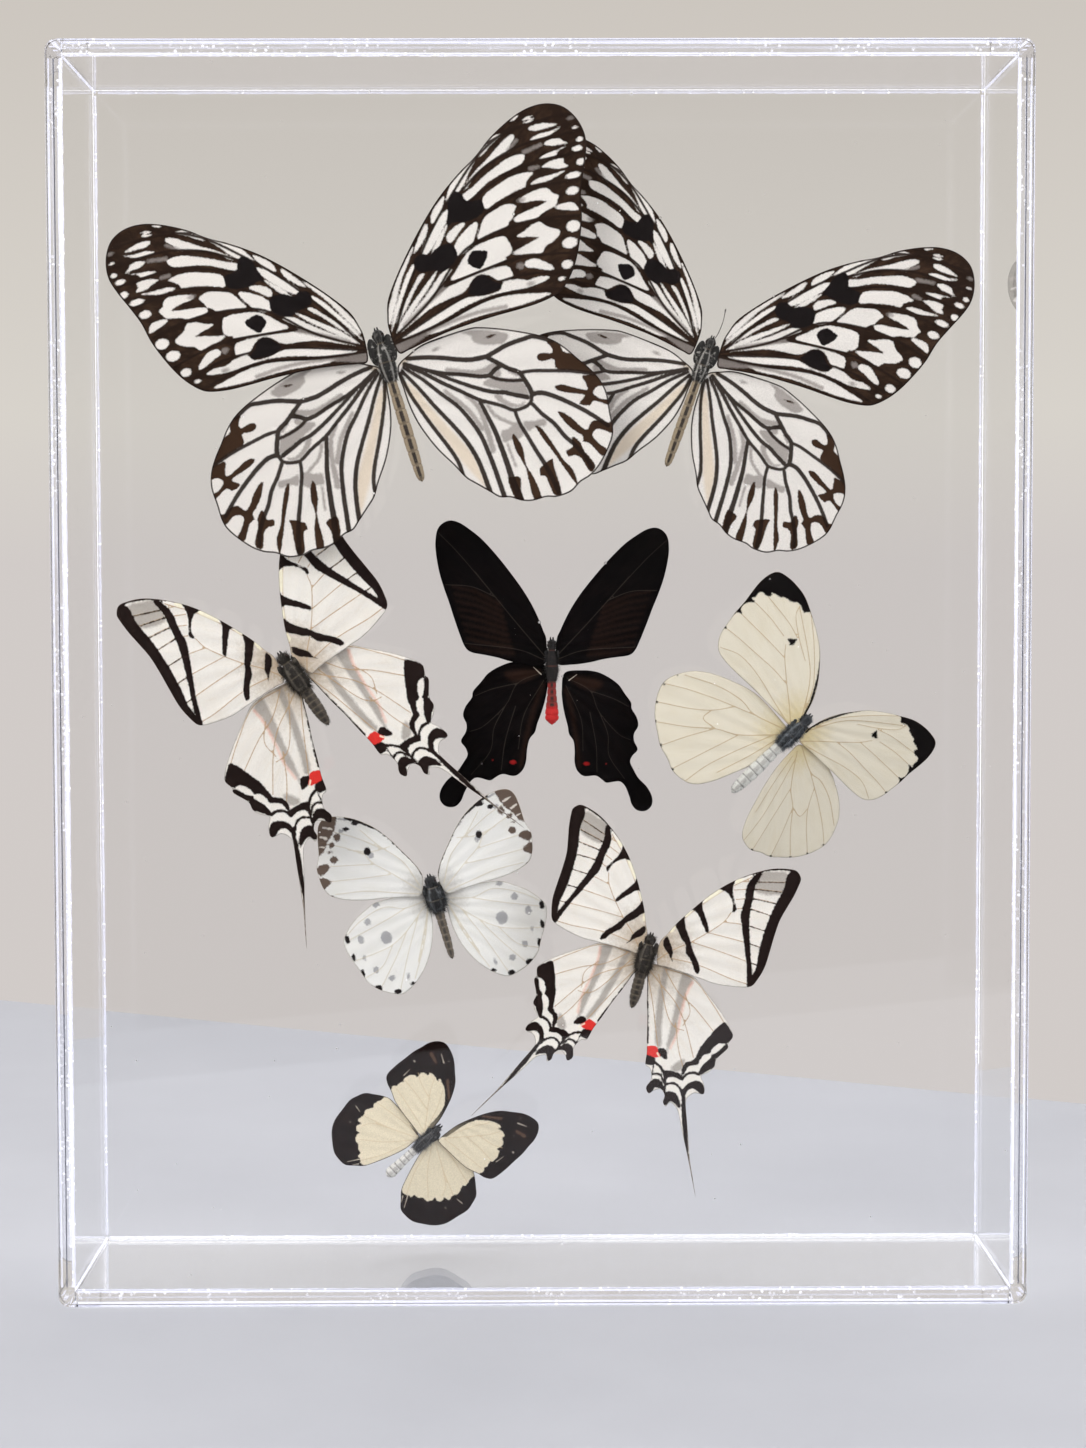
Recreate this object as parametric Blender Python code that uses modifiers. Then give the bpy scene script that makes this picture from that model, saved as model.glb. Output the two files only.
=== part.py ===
"""Clear display case, six cemented sheets, with eight pinned-open butterflies fixed inside it.

Metres, +Z up. The case stands on its bottom edge, its front faces -Y, and the origin is the middle
of its underside. Each butterfly is drawn once, in millimetres, in a flat frame of its own body:
x runs outward from the body's centre line and y runs towards the head.
"""

import math

import bpy
from mathutils import Matrix, Vector

MM = 0.001

# The case: its outside, its sheet and the cement gap between two sheets.
CASE_WIDTH = 215.9 * MM
CASE_HEIGHT = 279.4 * MM
CASE_DEPTH = 57.2 * MM
SHEET = 3.2 * MM
JOINT_GAP = 0.3 * MM
CORNER_RADIUS = 2.6 * MM
CORNER_STEPS = 5

# The insects.
WING_THICKNESS = 0.3 * MM
WING_LAYER = 0.45 * MM
ROOT_GAP = 0.35 * MM
FORE_HINGE = (2.0, 3.0)
HIND_HINGE = (2.0, -1.0)
BODY_SIDES = 12
POST_RADIUS = 1.0 * MM
POST_SIDES = 16

# Body profiles, millimetres: (radius, distance towards the head) from the head down.
BODIES = {
    "kite": [(0, 9.4), (1.0, 8.9), (1.3, 7.6), (0.9, 6.2), (1.6, 4.4), (1.9, 1.2), (1.6, -1.6),
             (1.1, -3.2), (1.2, -7.0), (1.3, -13.0), (1.25, -19.0), (0.9, -25.0), (0, -26.4)],
    "swordtail": [(0, 5.6), (1.0, 5.2), (1.2, 4.2), (1.0, 3.3), (1.7, 1.4), (1.8, -1.6), (1.3, -3.8),
                  (1.3, -6.4), (1.2, -9.0), (0.7, -11.2), (0, -12.2)],
    "black": [(0, 5.7), (0.9, 5.3), (1.0, 4.2), (0.8, 3.2), (1.3, 1.4), (1.4, -1.6), (1.0, -4.4),
              (1.1, -7.6), (1.5, -11.2), (1.4, -13.2), (0, -14.4)],
    "white": [(0, 6.4), (1.1, 6.0), (1.2, 4.6), (1.1, 3.6), (1.6, 1.6), (1.6, -1.4), (1.2, -3.6),
              (1.4, -8.0), (1.5, -12.0), (1.3, -15.5), (0.8, -18.2), (0, -19.0)],
    "spotted": [(0, 6.0), (1.1, 5.6), (1.3, 4.4), (1.4, 3.0), (2.1, 1.2), (2.1, -0.8), (1.2, -2.8),
                (1.0, -6.0), (0.9, -10.0), (0.6, -13.4), (0, -14.4)],
    "bordered": [(0, 3.9), (0.7, 3.5), (0.9, 2.2), (0.8, 1.4), (1.2, 0.0), (1.2, -2.0), (0.9, -4.4),
                 (1.0, -7.0), (1.2, -10.0), (1.2, -12.4), (0, -13.4)],
}

# How far out from the centre line each kind's wings may start.
ROOTS = {"kite": 2.0, "swordtail": 2.1, "black": 1.6, "white": 1.75, "spotted": 2.2, "bordered": 1.3}

# Right-hand wing outlines, millimetres, clockwise from the front of the root.
FOREWINGS = {
    "kite": [(2.3, 8.5), (2.9, 11.9), (4.2, 15.3), (8.1, 20.5), (13.2, 26.2), (18.1, 31.1),
             (22.1, 34.5), (27, 37.9), (31.5, 40.5), (35.9, 43.7), (40.8, 46.3), (44.7, 47.7),
             (48.4, 48.1), (51.5, 47.5), (54, 46), (55.8, 43.4), (56.7, 40.4), (56.7, 37.4),
             (55.6, 34), (53.7, 29.7), (52.1, 25.7), (51, 21), (49.5, 17), (47.6, 13), (45.6, 9.9),
             (43.1, 7.3), (40.8, 6), (36.5, 5.2), (31.5, 5), (26, 5), (20.4, 4.8), (14.8, 4.4),
             (9.3, 3.6), (5.4, 2.9), (2.9, 3)],
    "swordtail": [(1.8, 4.1), (3, 6.6), (4.6, 9.7), (7, 13.3), (9.5, 16.7), (12.5, 20.1),
                  (15.6, 22.8), (19.3, 25.3), (23, 27.1), (26.6, 27.9), (28.5, 27.8), (29.7, 26.5),
                  (29.7, 25), (29.1, 21.9), (28.2, 18.9), (27.4, 15.8), (27.1, 12.1), (27, 8.4),
                  (26.8, 4.7), (26, 1.7), (24.8, -0.5), (21.7, -1.4), (16.8, -1.9), (12.5, -1.5),
                  (8.2, -1.1), (4.6, -0.8), (2.4, -0.5)],
    "black": [(1.1, 5.5), (2, 8.2), (3.8, 12.4), (6.2, 16.6), (9.2, 20.8), (12.8, 25.3),
              (16.4, 29.2), (19.4, 31.6), (21.8, 33.1), (23.9, 33.6), (25.7, 32.9), (26.9, 31.3),
              (27.3, 28.6), (27.1, 25.6), (26.3, 21.4), (25.1, 17.5), (23.9, 14.2), (22.7, 10.6),
              (21.2, 6.4), (20, 3.7), (18.5, 2.5), (15.2, 1.9), (12.2, 1.3), (9.3, 0.5), (5, -0.2),
              (1.4, 0.1)],
    "white": [(0.9, 3.6), (1.4, 6.4), (2.3, 9.3), (4, 12.5), (6.3, 15.6), (9.2, 18.8),
              (12.6, 21.3), (16.1, 23.4), (20.1, 25.4), (23.5, 26.1), (26.4, 26.1), (28.7, 25.5),
              (29.8, 23.9), (30.3, 21.3), (30.2, 18.5), (29.8, 15), (29.7, 11.6), (29.4, 9.3),
              (29, 6.4), (28.1, 4.1), (26.4, 2.3), (24.1, 1.6), (20.1, 1.3), (14.9, 1.3),
              (10.3, 1.1), (5.2, 0.9), (1.7, 0.9)],
    "spotted": [(1.7, 5), (2.4, 7.2), (3.9, 9.4), (6.1, 12), (8.3, 14.6), (11, 17.1), (13.6, 18.8),
                (16.2, 20), (18.9, 20.7), (21.3, 20.9), (23.3, 20.4), (24.4, 19), (24.8, 16.8),
                (24.9, 14.6), (25, 12), (25.7, 9.4), (25.4, 7.2), (24.8, 5), (23.5, 3), (21.1, 1.9),
                (18, 1.3), (14.5, 1.1), (10.5, 1.2), (6.1, 1.1), (2.6, 1.2)],
    "bordered": [(1.1, 3.6), (1.5, 5.8), (2.4, 8.5), (3.5, 11.1), (5.2, 13.8), (7.4, 15.7),
                 (9.6, 17.4), (11.8, 18.3), (13.8, 18.5), (15.4, 17.5), (16.5, 15.7), (16.9, 13.8),
                 (17.4, 11.6), (17.6, 8.9), (17.8, 6.3), (17.6, 3.2), (16.2, 1.9), (14, 1.2),
                 (11.8, 0.3), (9.2, -0.2), (5.7, -0.5), (2.2, -0.8), (1.1, -0.3)],
}
HINDWINGS = {
    "kite": [(2.3, 0.5), (6, 2.6), (9.5, 3.7), (15.2, 4), (21, 3.9), (23.8, 3.2), (27.8, 1.6),
             (31.8, -0.3), (35.3, -2.2), (38.1, -4.2), (40.4, -6.7), (42.4, -9.9), (44.4, -13),
             (45.9, -16.2), (46.5, -19.6), (45.9, -23.7), (45.3, -27.7), (43.9, -30.5),
             (40.1, -34.4), (37, -36.3), (34.1, -37.1), (31.3, -38.5), (27.8, -38.6), (25.5, -37.9),
             (22.1, -37.7), (19.8, -36.9), (17.5, -35.4), (15.2, -34.6), (13.5, -32.8),
             (11.2, -30.3), (9.2, -28), (7.5, -24.5), (4.9, -19.6), (2.9, -13.9), (2.1, -9.3),
             (2, -4.7)],
    "swordtail": [(1.8, -1.4), (6.4, -1.1), (9.5, -1.4), (12.2, -2), (15.6, -4.5), (19.3, -7.4),
                  (21.9, -9.7), (23.6, -11.5), (24.4, -13), (23.7, -14.8), (23.9, -15.8),
                  (22, -18.6), (21.9, -20.4), (20.8, -21.9), (19.4, -23), (20.6, -24.8),
                  (21, -26.8), (18.7, -27.1), (17.4, -28.7), (17.7, -30.5), (18.7, -33.3),
                  (20.2, -37.6), (21.7, -41.9), (23.3, -45.5), (25, -49.5), (22.7, -44.8),
                  (20.5, -40.3), (18.4, -36.3), (16.8, -33), (15.6, -31.1), (13.8, -30.2),
                  (13.1, -31.3), (12.2, -30.5), (12.2, -29), (11, -27.8), (9.5, -28.4), (8.5, -29.3),
                  (7.6, -28.4), (7.7, -27.5), (8.2, -26.5), (8.1, -25.3), (7.3, -23.8),
                  (6.1, -23.2), (5.7, -20.4), (4.9, -17.3), (3.9, -13), (3, -10), (2.1, -6.3),
                  (1.5, -3.8)],
    "black": [(1.4, -0.8), (5.6, 0.3), (9.2, 0.3), (12.2, -0.7), (14.9, -2.3), (16.7, -4.4),
              (18.5, -6.5), (18.8, -8), (20.3, -10.1), (20.9, -12.2), (20.1, -14.3), (20.3, -16.1),
              (21.4, -18.2), (20.3, -19.9), (19.9, -21.5), (20.9, -23.3), (22.4, -25.4),
              (24.8, -27.5), (26.3, -29.9), (26.4, -32), (25.1, -33.5), (23, -33.6), (21.5, -32.3),
              (20.6, -30.2), (19.3, -27.8), (18, -26.8), (16.7, -26.9), (14.6, -27.4),
              (13.4, -26.7), (11.7, -25.9), (8.9, -26.3), (7.1, -25.1), (6.2, -23), (5.9, -20),
              (5.3, -17.6), (4.1, -16.1), (3.5, -14), (2.6, -11.6), (1.7, -8.6), (1.1, -5)],
    "white": [(1.2, 0.1), (6.3, 0.8), (11.5, 0.9), (14.9, 0.3), (18.4, -1), (21.2, -2.2),
              (24.1, -3.9), (26.4, -5.9), (28.1, -8.5), (29, -10.8), (29.1, -12.8), (28.4, -14.8),
              (27.2, -16.8), (25.5, -18.8), (23.8, -20.2), (21.5, -21.7), (19.2, -23.1),
              (16.1, -23.9), (13.2, -25), (9.8, -24.7), (7.8, -23.7), (6.3, -21.9), (4.9, -19.4),
              (3.5, -15.9), (2, -11.9), (0.9, -7.3), (0.6, -2.7)],
    "spotted": [(2.2, 1), (7, 1.4), (11.4, 1.2), (14.9, 0.8), (18, -0.8), (20.6, -2.5),
                (22.8, -4.7), (24.2, -6.9), (23.9, -9.6), (22.8, -12.2), (21.5, -14.8),
                (20.2, -17.5), (18, -19.5), (15.4, -20.8), (12.7, -21.5), (11, -21), (8.8, -19.5),
                (6.6, -17.3), (4.8, -14.8), (3.3, -11.8), (2.2, -8.2), (1.7, -4.3), (1.7, -1.2)],
    "bordered": [(1.3, -1.2), (4.8, -0.5), (9.2, -0.1), (12.3, -0.1), (14, -0.8), (15.8, -2.1),
                 (17.6, -3.6), (18.4, -5.6), (18.8, -7.4), (18.4, -10), (17.8, -13.1),
                 (16.5, -15.3), (14.5, -17), (12.3, -18.4), (10.1, -18.7), (8.3, -18.4),
                 (6.6, -16.8), (5, -15.1), (3.7, -12.2), (2.4, -8.7), (1.5, -5.6), (1.3, -3.4)],
}

# Each butterfly: its name, kind, centre across and up the case and back from its middle (mm),
# heading (degrees clockwise from upright, seen from the front) and body size. Then its wings: how
# far each is turned forward and folded back at its hinge (degrees), its size outward and along
# the body, and its hinge's shift (mm).
BUTTERFLIES = [
    ("near_kite", "kite", (-34.5, 209.0, -6), -16.7, 1.0, {
        "left_forewing": (1.5, 4, 0.97, 0.97, (0.9, 0.3)),
        "right_forewing": (-0.9, 4, 1.01, 1.01, (0.4, 0.1)),
        "left_hindwing": (7.6, 6, 0.99, 0.98, (-1.0, -0.2)),
        "right_hindwing": (1.6, 6, 0.99, 1.0, (-0.1, -0.5))}),
    ("far_kite", "kite", (36.9, 209.3, 6), 19.7, 0.88, {
        "left_forewing": (-1.8, 4, 0.88, 0.88, (0.5, 0.2)),
        "right_forewing": (0.4, 4, 0.95, 0.96, (0.3, -0.4)),
        "left_hindwing": (1.8, 6, 1.0, 0.86, (-0.9, -0.9)),
        "right_hindwing": (1.8, 6, 0.91, 0.89, (-0.8, -0.5))}),
    ("upper_swordtail", "swordtail", (-56.6, 139.3, 2), -34.2, 1.12, {
        "left_forewing": (6.7, 4, 1.0, 1.16, (-0.2, 1.7)),
        "right_forewing": (6.6, 4, 1.05, 1.12, (0.4, -0.4)),
        "left_hindwing": (7.9, 6, 1.12, 1.19, (-1.0, 0.9)),
        "right_hindwing": (-3.2, 5, 1.04, 1.22, (1.2, 2.4))}),
    ("black_swallowtail", "black", (2.6, 141.7, 14), 0.0, 1.0, {
        "left_forewing": (1.1, 3, 1.01, 0.99, (0.2, -0.1)),
        "right_forewing": (-2.2, 4, 0.98, 0.97, (-0.1, 0)),
        "left_hindwing": (0, 5, 1.01, 1.01, (-0.1, 0.1)),
        "right_hindwing": (-6.4, 6, 0.96, 0.93, (1.6, -1.4))}),
    ("black_tipped_white", "white", (57.7, 125.3, 4), 45.8, 1.0, {
        "left_forewing": (-2.8, 3, 0.98, 0.98, (-0.2, 0.7)),
        "right_forewing": (0.7, 14, 0.89, 0.91, (0.6, -0.4)),
        "left_hindwing": (0.2, 5, 1.02, 1.02, (-0.5, 0.2)),
        "right_hindwing": (1.7, 18, 0.81, 1.02, (1.8, 0.1))}),
    ("spotted_white", "spotted", (-24.8, 85.9, 14), -15.6, 1.0, {
        "left_forewing": (10.5, 6, 1.04, 1.03, (0.2, 0.9)),
        "right_forewing": (0.4, 4, 1.0, 1.01, (0.3, -0.1)),
        "left_hindwing": (5.4, 8, 0.98, 1.01, (-0.1, 1.2)),
        "right_hindwing": (-4.3, 5, 1.02, 1.01, (0.5, 0.4))}),
    ("lower_swordtail", "swordtail", (24.0, 73.8, 2), 15.0, 1.0, {
        "left_forewing": (5.3, 4, 0.94, 0.97, (-0.7, 1.2)),
        "right_forewing": (0.5, 3, 1.01, 1.01, (0.5, 0.1)),
        "left_hindwing": (8.2, 6, 0.94, 1.05, (-1.0, 1.5)),
        "right_hindwing": (1.1, 5, 1.01, 1.06, (0, 0.3))}),
    ("brown_bordered", "bordered", (-26.9, 29.9, 12), 46.7, 1.0, {
        "left_forewing": (0.9, 3, 1.0, 0.99, (-0.1, -0.1)),
        "right_forewing": (-4.3, 6, 0.95, 1.08, (1.1, 2.3)),
        "left_hindwing": (0.2, 5, 1.0, 1.01, (0.2, -0.2)),
        "right_hindwing": (-1.7, 8, 1.06, 1.03, (0, 2.5))}),
]

# Base colour, roughness, metallic and alpha of each material.
FINISHES = {
    "clear_acrylic": ((0.90, 0.93, 0.94), 0.03, 0.0, 0.25),
    "kite_wing": ((0.78, 0.75, 0.68), 0.6, 0.0, 1.0),
    "swordtail_wing": ((0.80, 0.74, 0.60), 0.6, 0.0, 1.0),
    "black_wing": ((0.012, 0.009, 0.009), 0.5, 0.0, 1.0),
    "white_wing": ((0.85, 0.80, 0.66), 0.6, 0.0, 1.0),
    "spotted_wing": ((0.86, 0.86, 0.83), 0.6, 0.0, 1.0),
    "bordered_wing": ((0.82, 0.72, 0.52), 0.6, 0.0, 1.0),
    "dark_body": ((0.05, 0.045, 0.04), 0.8, 0.0, 1.0),
}


def clear_scene():
    for item in list(bpy.data.objects):
        bpy.data.objects.remove(item, do_unlink=True)


def make_material(name):
    colour, roughness, metallic, alpha = FINISHES[name]
    material = bpy.data.materials.new(name)
    material.use_nodes = True
    shader = material.node_tree.nodes["Principled BSDF"]
    shader.inputs["Base Color"].default_value = (*colour, 1.0)
    shader.inputs["Roughness"].default_value = roughness
    shader.inputs["Metallic"].default_value = metallic
    shader.inputs["Alpha"].default_value = alpha
    return material


def flat_piece(name, points, thickness, placement, material):
    """A flat outline in the local XY plane, thickened evenly to both sides."""
    curve = bpy.data.curves.new(name, "CURVE")
    curve.dimensions = "2D"
    curve.fill_mode = "BOTH"
    curve.extrude = thickness / 2
    spline = curve.splines.new("POLY")
    spline.points.add(len(points) - 1)
    for point, (x, y) in zip(spline.points, points):
        point.co = (x, y, 0.0, 1.0)
    spline.use_cyclic_u = True
    curve.materials.append(material)
    piece = bpy.data.objects.new(name, curve)
    piece.matrix_world = placement
    parts.objects.link(piece)
    return piece


def corner_arc(x, z, start):
    """A quarter turn clockwise about (x, z), from the angle start in degrees."""
    steps = [math.radians(start - 90 * i / CORNER_STEPS) for i in range(CORNER_STEPS + 1)]
    return [(x + CORNER_RADIUS * math.cos(a), z + CORNER_RADIUS * math.sin(a)) for a in steps]


def sheet_piece(name, outline, near, far):
    """A sheet with its outline seen from the front, between two depths of the case."""
    facing_front = Matrix.Rotation(math.radians(90), 4, "X")
    placement = Matrix.Translation((0, (near + far) / 2, 0)) @ facing_front
    return flat_piece(name, outline, far - near, placement, materials["clear_acrylic"])


def build_case():
    half, top, depth = CASE_WIDTH / 2, CASE_HEIGHT, CASE_DEPTH / 2
    edge = half - CORNER_RADIUS
    low, high = CORNER_RADIUS, top - CORNER_RADIUS
    top_right, bottom_right = corner_arc(edge, high, 90), corner_arc(edge, low, 0)
    bottom_left, top_left = corner_arc(-edge, low, -90), corner_arc(-edge, high, 180)
    face = top_right + bottom_right + bottom_left + top_left
    sheet_piece("front_panel", face, -depth, -depth + SHEET)
    sheet_piece("back_panel", face, depth - SHEET, depth)
    near, far = -depth + SHEET + JOINT_GAP, depth - SHEET - JOINT_GAP
    inner = half - SHEET
    right = top_right + bottom_right + [(inner, 0), (inner, top)]
    left = bottom_left + top_left + [(-inner, top), (-inner, 0)]
    sheet_piece("right_wall", right, near, far)
    sheet_piece("left_wall", left, near, far)
    end = inner - JOINT_GAP
    for name, base in (("top_wall", top - SHEET), ("bottom_wall", 0)):
        outline = [(-end, base), (-end, base + SHEET), (end, base + SHEET), (end, base)]
        sheet_piece(name, outline, near, far)


def body_frame(centre, heading):
    """Local x to the insect's right as seen from the front, y to its head, z to the front."""
    across, up, back = (value * MM for value in centre)
    turn = math.radians(heading)
    right = Vector((math.cos(turn), 0, -math.sin(turn)))
    head = Vector((math.sin(turn), 0, math.cos(turn)))
    frame = Matrix((right, head, right.cross(head))).transposed().to_4x4()
    return Matrix.Translation((across, back, up)) @ frame


def build_body(name, kind, size, frame):
    """A turned solid along the insect's length."""
    mesh = bpy.data.meshes.new(name)
    scale = size * MM
    profile = [(radius * scale, 0, length * scale) for radius, length in BODIES[kind]]
    edges = [(i, i + 1) for i in range(len(profile) - 1)]
    mesh.from_pydata(profile, edges, [])
    mesh.materials.append(materials["dark_body"])
    body = bpy.data.objects.new(name, mesh)
    parts.objects.link(body)
    head_up = Matrix.Rotation(math.radians(-90), 4, "X")
    body.matrix_world = frame @ head_up
    turned = body.modifiers.new("Turned", "SCREW")
    turned.steps = turned.render_steps = BODY_SIDES
    turned.use_merge_vertices = True
    turned.merge_threshold = 0.00002
    turned.use_smooth_shade = True


def build_wing(name, kind, side, is_fore, frame, pose):
    """One wing, turned and folded at its hinge and cut straight where it would meet the body."""
    turn, fold, across, along, shift = pose
    outline = (FOREWINGS if is_fore else HINDWINGS)[kind]
    hinge_x, hinge_y = FORE_HINGE if is_fore else HIND_HINGE
    cosine, sine = math.cos(math.radians(turn)), math.sin(math.radians(turn))
    root = ROOTS[kind] * MM + ROOT_GAP
    hinge = Vector((hinge_x + shift[0], hinge_y + shift[1])) * MM
    points = []
    for x, y in outline:
        dx, dy = (x - hinge_x) * across * MM, (y - hinge_y) * along * MM
        out = max(hinge.x + dx * cosine - dy * sine, root) - hinge.x
        points.append((side * out, dx * sine + dy * cosine))
    layer = WING_LAYER if is_fore else -WING_LAYER
    folded = Matrix.Rotation(side * math.radians(fold), 4, "Y")
    placement = frame @ Matrix.Translation((side * hinge.x, hinge.y, layer)) @ folded
    flat_piece(name, points, WING_THICKNESS, placement, materials[kind + "_wing"])


def build_post(name, kind, size, centre):
    """A clear rod from the back panel to just behind the thorax."""
    thorax = max(radius for radius, length in BODIES[kind]) * size * MM
    start = centre[2] * MM + thorax + JOINT_GAP
    end = CASE_DEPTH / 2 - SHEET - JOINT_GAP
    middle = (centre[0] * MM, (start + end) / 2, centre[1] * MM)
    bpy.ops.mesh.primitive_cylinder_add(
        vertices=POST_SIDES, radius=POST_RADIUS, depth=end - start, location=middle,
        rotation=(math.radians(90), 0, 0))
    post = bpy.context.object
    post.name = name
    post.data.name = name
    post.data.materials.append(materials["clear_acrylic"])
    post.data.shade_smooth()
    post.data.set_sharp_from_angle(angle=math.radians(40))
    for collection in list(post.users_collection):
        collection.objects.unlink(post)
    parts.objects.link(post)


def build_butterfly(name, kind, centre, heading, size, wings):
    frame = body_frame(centre, heading)
    build_body(name + "_body", kind, size, frame)
    for wing, pose in wings.items():
        side = -1 if wing.startswith("left") else 1
        build_wing(f"{name}_{wing}", kind, side, wing.endswith("forewing"), frame, pose)
    build_post(name + "_post", kind, size, centre)


clear_scene()
parts = bpy.data.collections.new("framed_butterfly_case")
bpy.context.scene.collection.children.link(parts)
materials = {name: make_material(name) for name in FINISHES}
build_case()
for entry in BUTTERFLIES:
    build_butterfly(*entry)
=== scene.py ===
"""A clear display case with eight spread butterflies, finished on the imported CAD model.

Metres, +Z up. The case stands on its bottom edge and its front faces -Y. Wings, bodies and their
markings are drawn in millimetres in each insect's own frame: x runs outward from the body's centre
line, y runs towards the head and z towards the front of the case.
"""

import math
import random

import bpy
import numpy as np
from mathutils import Matrix, Vector
from mathutils.geometry import delaunay_2d_cdt


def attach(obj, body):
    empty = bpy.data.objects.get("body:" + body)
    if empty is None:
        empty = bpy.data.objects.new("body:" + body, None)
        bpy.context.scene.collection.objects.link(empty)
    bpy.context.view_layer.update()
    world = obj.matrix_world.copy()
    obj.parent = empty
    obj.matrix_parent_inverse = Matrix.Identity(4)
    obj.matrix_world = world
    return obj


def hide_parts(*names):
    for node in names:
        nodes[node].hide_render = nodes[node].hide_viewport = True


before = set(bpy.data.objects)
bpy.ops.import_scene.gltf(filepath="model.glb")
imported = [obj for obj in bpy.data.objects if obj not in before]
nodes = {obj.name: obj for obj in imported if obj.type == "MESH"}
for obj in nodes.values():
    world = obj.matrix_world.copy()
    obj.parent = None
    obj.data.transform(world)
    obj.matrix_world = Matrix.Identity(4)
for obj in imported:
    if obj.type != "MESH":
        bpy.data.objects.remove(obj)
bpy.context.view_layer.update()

MM = 0.001
CASE_WIDTH = 215.9
CASE_HEIGHT = 279.4
CASE_DEPTH = 57.2
SHEET = 3.2
JOINT_GAP = 0.3

# Wing shells, hinges and nets, millimetres.
MEMBRANE = 0.11
WING_LAYER = 0.45
FORE_HINGE = (2.0, 3.0)
HIND_HINGE = (2.0, -1.0)
GRID = 0.42
VEIN_STEP = 0.45
VEIN_HEIGHT = 0.07

# Body shells and hair, millimetres.
SHELL_SIDES = 32
RING_STEP = 0.16
HAIR_WIDTH = 0.028
HAIR_BEND = 0.22

# The case's edges, and the cement's film and bead, millimetres.
PANEL_EASE = 0.35
WALL_EASE = 0.12
FILM_SKIN = 0.03
BEAD_LEG = 0.32
SEAM_STEP = 1.4

# The table, millimetres: two points on its far edge, its size and where its top lies.
TABLE_FAR_LEFT = (-206, 430, 0)
TABLE_FAR_RIGHT = (165, 212, 0)
TABLE_HALF_LENGTH = 1100
TABLE_REACH = 600
TABLE_DROP = 0.4
TABLE_THICKNESS = 30

# The camera: pitch, yaw and roll in degrees, its place in metres, lens and film in millimetres.
CAMERA_ANGLES = (3.207, 0.411, -0.119)
CAMERA_PLACE = (-0.00436, -0.6643, 0.1655)
CAMERA_LENS = 71.8
CAMERA_FILM = 36.0

# Body profiles, millimetres: (radius, distance towards the head) from the head down.
BODIES = {
    "kite": [(0, 9.4), (1.0, 8.9), (1.3, 7.6), (0.9, 6.2), (1.6, 4.4), (1.9, 1.2), (1.6, -1.6),
             (1.1, -3.2), (1.2, -7.0), (1.3, -13.0), (1.25, -19.0), (0.9, -25.0), (0, -26.4)],
    "swordtail": [(0, 5.6), (1.0, 5.2), (1.2, 4.2), (1.0, 3.3), (1.7, 1.4), (1.8, -1.6), (1.3, -3.8),
                  (1.3, -6.4), (1.2, -9.0), (0.7, -11.2), (0, -12.2)],
    "black": [(0, 5.7), (0.9, 5.3), (1.0, 4.2), (0.8, 3.2), (1.3, 1.4), (1.4, -1.6), (1.0, -4.4),
              (1.1, -7.6), (1.5, -11.2), (1.4, -13.2), (0, -14.4)],
    "white": [(0, 6.4), (1.1, 6.0), (1.2, 4.6), (1.1, 3.6), (1.6, 1.6), (1.6, -1.4), (1.2, -3.6),
              (1.4, -8.0), (1.5, -12.0), (1.3, -15.5), (0.8, -18.2), (0, -19.0)],
    "spotted": [(0, 6.0), (1.1, 5.6), (1.3, 4.4), (1.4, 3.0), (2.1, 1.2), (2.1, -0.8), (1.2, -2.8),
                (1.0, -6.0), (0.9, -10.0), (0.6, -13.4), (0, -14.4)],
    "bordered": [(0, 3.9), (0.7, 3.5), (0.9, 2.2), (0.8, 1.4), (1.2, 0.0), (1.2, -2.0), (0.9, -4.4),
                 (1.0, -7.0), (1.2, -10.0), (1.2, -12.4), (0, -13.4)],
}

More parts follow.
